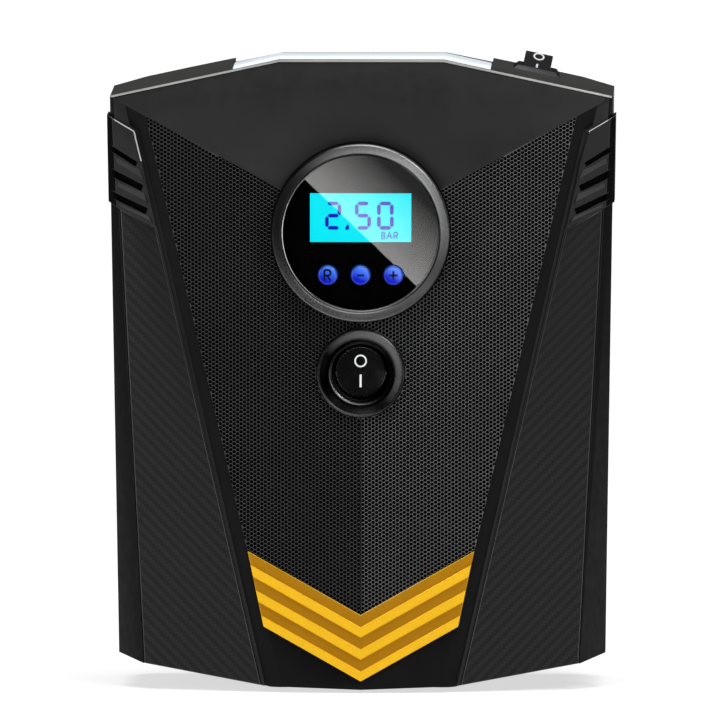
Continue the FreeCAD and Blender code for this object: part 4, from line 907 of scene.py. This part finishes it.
def honeycomb(name, node, hand, wire):
    """A stamped hexagon mesh: raised wires round open cells, whose walls and floors are
    near-black: painted shade.
    """
    column = CELL_PITCH * math.cos(math.pi / 6)
    corner = CELL_PITCH / math.sqrt(3)
    vertices = []
    index = {}
    faces = []
    kinds = []

    def vertex(x, z, depth):
        key = (round(x, 4), round(z, 4), round(depth, 3))
        if key not in index:
            index[key] = len(vertices)
            y = APEX_Y + MESH_LEAN * x + depth
            vertices.append((hand * x * MM, y * MM, z * MM))
        return index[key]

    def face(loop, kind):
        loop = [v for v, after in zip(loop, loop[1:] + loop[:1]) if v != after]
        if len(loop) >= 3 and len(set(loop)) == len(loop):
            faces.append(loop if hand < 0 else loop[::-1])
            kinds.append(kind)

    for i in range(64):
        for j in range(-2, 128):
            cx = FIRST_CELL[0] + i * column
            cz = FIRST_CELL[1] + (j + 0.5 * (i % 2)) * CELL_PITCH
            if any(past(side, cx, cz)[0] > corner for side in MESH_SIDES):
                continue
            if any(math.hypot(cx, cz - centre) < radius - OPENING_EDGE
                   for centre, radius in OPENINGS):
                continue
            ring = [pull_in(cx + corner * math.cos(math.pi / 3 * k),
                            cz + corner * math.sin(math.pi / 3 * k)) for k in range(6)]
            area = sum(x1 * z2 - x2 * z1
                       for (x1, z1), (x2, z2) in zip(ring, ring[1:] + ring[:1])) / 2
            if area < LEAST_CELL:
                continue
            mx = sum(x for x, _ in ring) / 6
            mz = sum(z for _, z in ring) / 6
            outer = [vertex(x, z, 0.0) for x, z in ring]
            if area < LEAST_HOLE:
                face(outer, 0)
                continue
            spots = [(mx + (x - mx) * HOLE_SHARE, mz + (z - mz) * HOLE_SHARE) for x, z in ring]
            inner = [vertex(x, z, CREST) for x, z in spots]
            floor = [vertex(mx + (x - mx) * FLOOR_SHARE, mz + (z - mz) * FLOOR_SHARE, PIT_DEPTH)
                     for x, z in spots]
            for k in range(6):
                n = (k + 1) % 6
                face([outer[k], outer[n], inner[n], inner[k]], 0)
                face([inner[k], inner[n], floor[n], floor[k]], 1)
            face(floor, 1)
    piece = mesh_from(name, vertices, faces, [wire, "pit"], None, kinds)
    shape = bmesh.new()
    shape.from_mesh(piece.data)
    border = [edge for edge in shape.edges if edge.is_boundary]
    made = bmesh.ops.extrude_edge_only(shape, edges=border)["geom"]
    for item in made:
        if isinstance(item, bmesh.types.BMVert):
            x = abs(item.co.x) / MM
            item.co.y = (APEX_Y + MESH_LEAN * x + INLAY_DEPTH) * MM
    bmesh.ops.triangulate(shape, faces=shape.faces)
    shape.to_mesh(piece.data)
    shape.free()
    finish_piece(piece, node)


honeycomb("honeycomb_right", "mesh_right", 1, "wire")
# The left mesh gets the darker wire: painted shade.
honeycomb("honeycomb_left", "mesh_left", -1, "wire_painted_shade")


# ---------------------------------------------------------------- chevrons

def round_chevron(shape):
    edges = [edge for edge in shape.edges
             if len(edge.link_faces) == 2 and edge.calc_face_angle() > math.radians(25)]
    bmesh.ops.bevel(shape, geom=edges, offset=0.12 * MM, segments=2, profile=0.5,
                    affect="EDGES", clamp_overlap=True)


def chevrons():
    """Three gold ribs in a V: a low facet, a riser and a proud facet each; the low facets get a
    darker copy of the gold, painted shade. Profile points are (height on the middle line, how far
    proud, whether painted with the darker gold)."""
    first, pitch, rise, half, narrowing = 23.5, 6.667, 0.559, 34.0, 0.24
    profile = [(first, -0.7, 1)]
    for step in range(3):
        top = first - pitch * step
        profile += [(top, 0.1, 1), (top - 3.7, 0.45, 1), (top - 3.7, 1.2, 0),
                    (top - 6.55, 1.05, 0)]
    profile.append((3.5, -0.7, 0))
    vertices = []
    for hand in (-1, 0, 1):
        for height, proud, _ in profile:
            x = hand * (half - narrowing * (first - height))
            y = APEX_Y + MESH_LEAN * abs(x) - proud
            vertices.append((x * MM, y * MM, (height + rise * abs(x)) * MM))
    rows = len(profile)
    faces = []
    kinds = []
    for side in range(2):
        a = side * rows
        b = a + rows
        for row in range(rows):
            after = (row + 1) % rows
            faces.append((a + row, b + row, b + after, a + after))
            kinds.append(1 if profile[row][2] and profile[after][2] else 0)
    faces.append(tuple(range(rows)))
    faces.append(tuple(2 * rows + row for row in range(rows - 1, -1, -1)))
    kinds += [0, 0]
    piece = mesh_from("chevron_ribs", vertices, faces, ["gold", "shaded_gold"], 30.0, kinds)
    rework(piece.data, outward, round_chevron)
    finish_piece(piece, "chevron_trim")


chevrons()


# ---------------------------------------------------------------- turned rings

def ring_piece(name, node, corners, centre, keys, radius, hides=True):
    """A turned piece from the corners (radius, distance in front of Y = 0) of its profile."""
    profile = [(r * MM, -y * MM) for r, y in rounded(corners, radius)]
    return finish_piece(lathe(name, profile, centre, keys), node, hides)


GAUGE = (0.0, GAUGE_Z * MM)
SWITCH = (0.0, SWITCH_Z * MM)
ring_piece("gauge_ring", "gauge_bezel",
           [(24.7, 28.0), (26.7, 28.0), (26.7, 38.75), (26.35, 39.3), (24.1, 39.4),
            (23.7, 38.6), (23.3, 38.3), (23.3, 35.8), (24.7, 35.8), (24.7, 28.0)],
           GAUGE, ["ring"], 0.2)
# A thin ring inside the bezel that carries a painted highlight at its left.
ring_piece("gauge_lip", "gauge_bezel",
           [(23.65, 38.3), (23.65, 38.85), (23.38, 38.95), (23.38, 38.3), (23.65, 38.3)],
           GAUGE, ["lip"], 0.05, hides=False)
# A black ring round the bezel: painted shadow where the bezel stands on the shield.
ring_piece("gauge_gasket", "gauge_bezel",
           [(26.6, 28.0), (27.15, 28.0), (27.15, 36.6), (26.6, 36.9), (26.6, 28.0)],
           GAUGE, ["pit"], 0.1, hides=False)
ring_piece("switch_ring", "switch_collar",
           [(9.45, 28.0), (15.5, 28.0), (15.5, 29.4), (13.2, 29.4), (13.2, 36.7), (12.75, 37.2),
            (12.2, 36.9), (12.1, 34.9), (9.45, 34.9), (9.45, 28.0)], SWITCH, ["collar"], 0.3)
# The collar's funnel: painted highlight at its upper right, painted shade elsewhere.
ring_piece("switch_funnel", "switch_collar",
           [(12.3, 34.9), (12.3, 36.95), (9.9, 35.5), (9.9, 34.9), (12.3, 34.9)], SWITCH,
           ["funnel"], 0.05, hides=False)
ring_piece("switch_barrel", "main_switch_body",
           [(0.0, 18.0), (9.4, 18.0), (9.4, 34.9), (9.7, 34.9), (9.7, 36.3), (9.2, 36.7),
            (8.6, 36.1), (8.5, 34.6), (7.95, 34.5), (7.95, 33.9), (8.6, 33.8), (8.6, 28.5),
            (0.0, 28.5)], SWITCH, ["barrel"], 0.3)
for button, x in BUTTONS.items():
    ring_piece(button + "_cap", button,
               [(0.0, 34.8), (3.8, 34.8), (3.8, 35.5), (3.0, 35.5), (3.0, 38.1),
                (2.45, BUTTON_FRONT), (0.0, BUTTON_FRONT)], (x * MM, BUTTON_Z * MM),
               ["button"], 0.4)


# ---------------------------------------------------------------- marks

def plate(name, outlines, key, node, surface, thick=0.04):
    """Flat marks a little above a surface: outlines are closed lists of (u, v) in millimetres,
    and surface gives the point at (u, v, height above it)."""
    sunk = -0.02
    vertices = []
    faces = []
    for outline in outlines:
        count = len(outline)
        base = len(vertices)
        vertices += [surface(u, v, thick) for u, v in outline]
        vertices += [surface(u, v, sunk) for u, v in outline]
        faces.append(tuple(range(base, base + count)))
        faces.append(tuple(range(base + 2 * count - 1, base + count - 1, -1)))
        for k in range(count):
            n = (k + 1) % count
            faces.append((base + k, base + count + k, base + count + n, base + n))
    piece = mesh_from(name, vertices, faces, [key], None)
    rework(piece.data, outward)
    finish_piece(piece, node, hides=False)


def stroke(points, width, closed=False):
    """Outlines of a line of even width through points: one quadrilateral for each step."""
    spots = [Vector(p) for p in points]
    if closed:
        spots = [spots[-1]] + spots + [spots[0]]
    outlines = []
    sides = []
    for k, spot in enumerate(spots):
        before = spots[max(k - 1, 0)]
        after = spots[min(k + 1, len(spots) - 1)]
        first = (spot - before).normalized() if (spot - before).length else None
        second = (after - spot).normalized() if (after - spot).length else None
        way = ((first or second) + (second or first)).normalized()
        cosine = max(0.5, way.dot(second or first))
        normal = Vector((-way.y, way.x)) * (width / 2 / cosine)
        sides.append((spot + normal, spot - normal))
    start, end = (1, len(spots) - 1) if closed else (0, len(spots) - 1)
    for k in range(start, end):
        (a, b), (c, d) = sides[k], sides[k + 1]
        outlines.append([tuple(a), tuple(c), tuple(d), tuple(b)])
    return outlines


def circle(u, v, radius, count=40):
    return [(u + radius * math.cos(2 * math.pi * k / count),
             v + radius * math.sin(2 * math.pi * k / count)) for k in range(count)]


def segment_bar(u1, v1, u2, v2, width):
    """One bar of a seven-segment digit, with pointed ends."""
    a, b = Vector((u1, v1)), Vector((u2, v2))
    way = (b - a).normalized()
    normal = Vector((-way.y, way.x)) * width / 2
    tip = way * width / 2
    return [tuple(p) for p in (a, a + tip + normal, b - tip + normal, b, b - tip - normal,
                               a + tip - normal)]


SEGMENTS = {"2": "abged", "5": "afgcd", "0": "abcdef"}


def digit(symbol, left, low, wide, tall, width):
    """The lit bars of one seven-segment digit."""
    half = width / 2
    gap = 0.14
    u1, u2 = left + half, left + wide - half
    v1, v2, v3 = low + half, low + tall / 2, low + tall - half
    bars = {"a": (u1, v3, u2, v3), "g": (u1, v2, u2, v2), "d": (u1, v1, u2, v1),
            "f": (u1, v2, u1, v3), "b": (u2, v2, u2, v3), "e": (u1, v1, u1, v2),
            "c": (u2, v1, u2, v2)}
    made = []
    for name in SEGMENTS[symbol]:
        from_u, from_v, to_u, to_v = bars[name]
        way = Vector((to_u - from_u, to_v - from_v)).normalized() * gap
        made.append(segment_bar(from_u + way.x, from_v + way.y, to_u - way.x, to_v - way.y,
                                width))
    return made


def facing(front):
    """The surface of a flat face that looks along -Y at a distance in front of Y = 0."""
    return lambda u, v, up: (u * MM, -(front + up) * MM, v * MM)


def arc(u, v, radius, start, end):
    """Points round a centre, from one direction to another in degrees."""
    count = 8
    return [(u + radius * math.cos(math.radians(start + (end - start) * k / count)),
             v + radius * math.sin(math.radians(start + (end - start) * k / count)))
            for k in range(count + 1)]


def letters_bar(left, low, tall, width):
    """The unit of the reading."""
    mid = low + tall * 0.52
    top = low + tall
    bowl = tall * 0.24
    lines = [[(left, low), (left, top)]]
    for base, radius in ((mid, (top - mid) / 2), (low, (mid - low) / 2)):
        lines.append([(left, base + 2 * radius), (left + bowl, base + 2 * radius)]
                     + arc(left + bowl, base + radius, radius, 90, -90) + [(left, base)])
    a = left + tall * 0.8
    lines += [[(a, low), (a + tall * 0.42, top), (a + tall * 0.84, low)],
              [(a + tall * 0.15, low + tall * 0.36), (a + tall * 0.69, low + tall * 0.36)]]
    lines += letter_r(left + tall * 1.95, low, tall)
    return [outline for line in lines for outline in stroke(line, width)]


def letter_r(left, low, tall):
    """The lines of an R."""
    top = low + tall
    mid = low + tall * 0.47
    radius = (top - mid) / 2
    bowl = tall * 0.32
    return [[(left, low), (left, top)],
            [(left, top), (left + bowl, top)]
            + arc(left + bowl, mid + radius, radius, 90, -90) + [(left, mid)],
            [(left + bowl * 0.8, mid), (left + bowl + radius, low)]]


LOW = 139.45
LCD_FRONT = 35.8
reading = []
for symbol, left, wide in (("2", -10.8, 4.9), ("5", -1.85, 4.85), ("0", 4.8, 5.0)):
    reading += digit(symbol, left + 0.1, LOW, wide, 8.45, 1.12)
reading.append([(-4.6, LOW), (-3.5, LOW), (-3.5, LOW + 1.1), (-3.9, LOW + 1.7),
                (-4.6, LOW + 0.7)])
reading += letters_bar(6.3, 136.75, 1.9, 0.34)
plate("lcd_reading", reading, "digit", "lcd_module", facing(LCD_FRONT))

for button, x in BUTTONS.items():
    if button == "button_reset":
        lines = letter_r(x - 1.0, BUTTON_Z - 1.6, 3.2)
    elif button == "button_minus":
        lines = [[(x - 1.05, BUTTON_Z), (x + 1.05, BUTTON_Z)]]
    else:
        lines = [[(x - 1.3, BUTTON_Z), (x + 1.3, BUTTON_Z)],
                 [(x, BUTTON_Z - 1.3), (x, BUTTON_Z + 1.3)]]
    outlines = [outline for line in lines for outline in stroke(line, 0.62)]
    plate(button + "_mark", outlines, "button_mark", button, facing(BUTTON_FRONT))


def rocker_surface(u, v, up):
    """The dished front of the main rocker, tilted to its resting place."""
    front, dish, pivot_front, tilt = 4.1, 0.12, 32.5, -8
    local = Vector((u, -(front + dish * abs(v) + up), v)) * MM
    pivot = Vector((0, -pivot_front, SWITCH_Z)) * MM
    return tuple(pivot + Matrix.Rotation(math.radians(tilt), 3, "X") @ local)


plate("main_marks", stroke(circle(0, 3.2, 1.66), 0.46, True)
      + [[(-0.31, -0.85), (0.31, -0.85), (0.31, -4.7), (-0.31, -4.7)]], "white_mark",
      "main_switch_rocker", rocker_surface)
# A thin ring on the rocker's rim that carries a painted highlight at its upper left.
plate("rocker_lip", stroke(circle(0, 0, 7.25, 72), 0.2, True), "rocker_lip",
      "main_switch_rocker", rocker_surface)
softened("main_rocker_cap", "main_switch_rocker", ["gloss"], 0.35 * MM, 30.0, 4)


def grip_surface(hand):
    """The grip's front face and the bevel that turns to its side."""
    def spot(u, v, up):
        bevel = -26.1 + (0.86 * (u - 74.0) - 0.06 * (v - 157.5)) / 0.5
        return (hand * u * MM, (max(side_y(u, v), bevel) - up) * MM, v * MM)
    return spot


# Bright strips along the grips' upper edges, and the left grip's inner edge: painted highlight.
TOP_EDGE = [(68.35, 168.6), (70.0, 169.55), (71.6, 170.45), (73.2, 171.4), (74.0, 171.85),
            (74.8, 172.3), (75.3, 172.6)]
INNER_EDGE = [(66.0, 159.6), (66.9, 163.1), (67.6, 166.0), (68.0, 168.0)]
plate("grip_highlight_left", stroke(INNER_EDGE + TOP_EDGE, 0.36), "rim", "grip_left",
      grip_surface(-1), 0.12)
plate("grip_highlight_right", stroke(TOP_EDGE, 0.26), "rim", "grip_right", grip_surface(1), 0.12)


def lamp_surface(u, v, up):
    """The top of the light switch's rocker: two planes that meet over its pivot."""
    rear_lean, front_lean, middle = 0.554, 0.194, 2.1
    top_z, top_half, top_slope, slope_angle = 189.9, 24.75, 0.21675, 12.23
    x, y = 51.9, 20.0
    rise = rear_lean * v if v > 0 else front_lean * v
    local = Vector((u, v, middle + rise + up)) * MM
    origin = Vector((x, y, top_z - (x - top_half) * top_slope)) * MM
    return tuple(origin + Matrix.Rotation(math.radians(slope_angle), 3, "Y") @ local)


softened("light_rocker_cap", "light_switch_rocker", ["satin"], 0.3 * MM, 30.0, 3)
plate("light_marks", stroke(circle(0, 3.5, 1.45, 32), 0.5, True)
      + [[(-0.3, -0.5), (0.3, -0.5), (0.3, -4.6), (-0.3, -4.6)]], "white_mark",
      "light_switch_rocker", lamp_surface)

NODES["gauge_lens"].visible_shadow = False
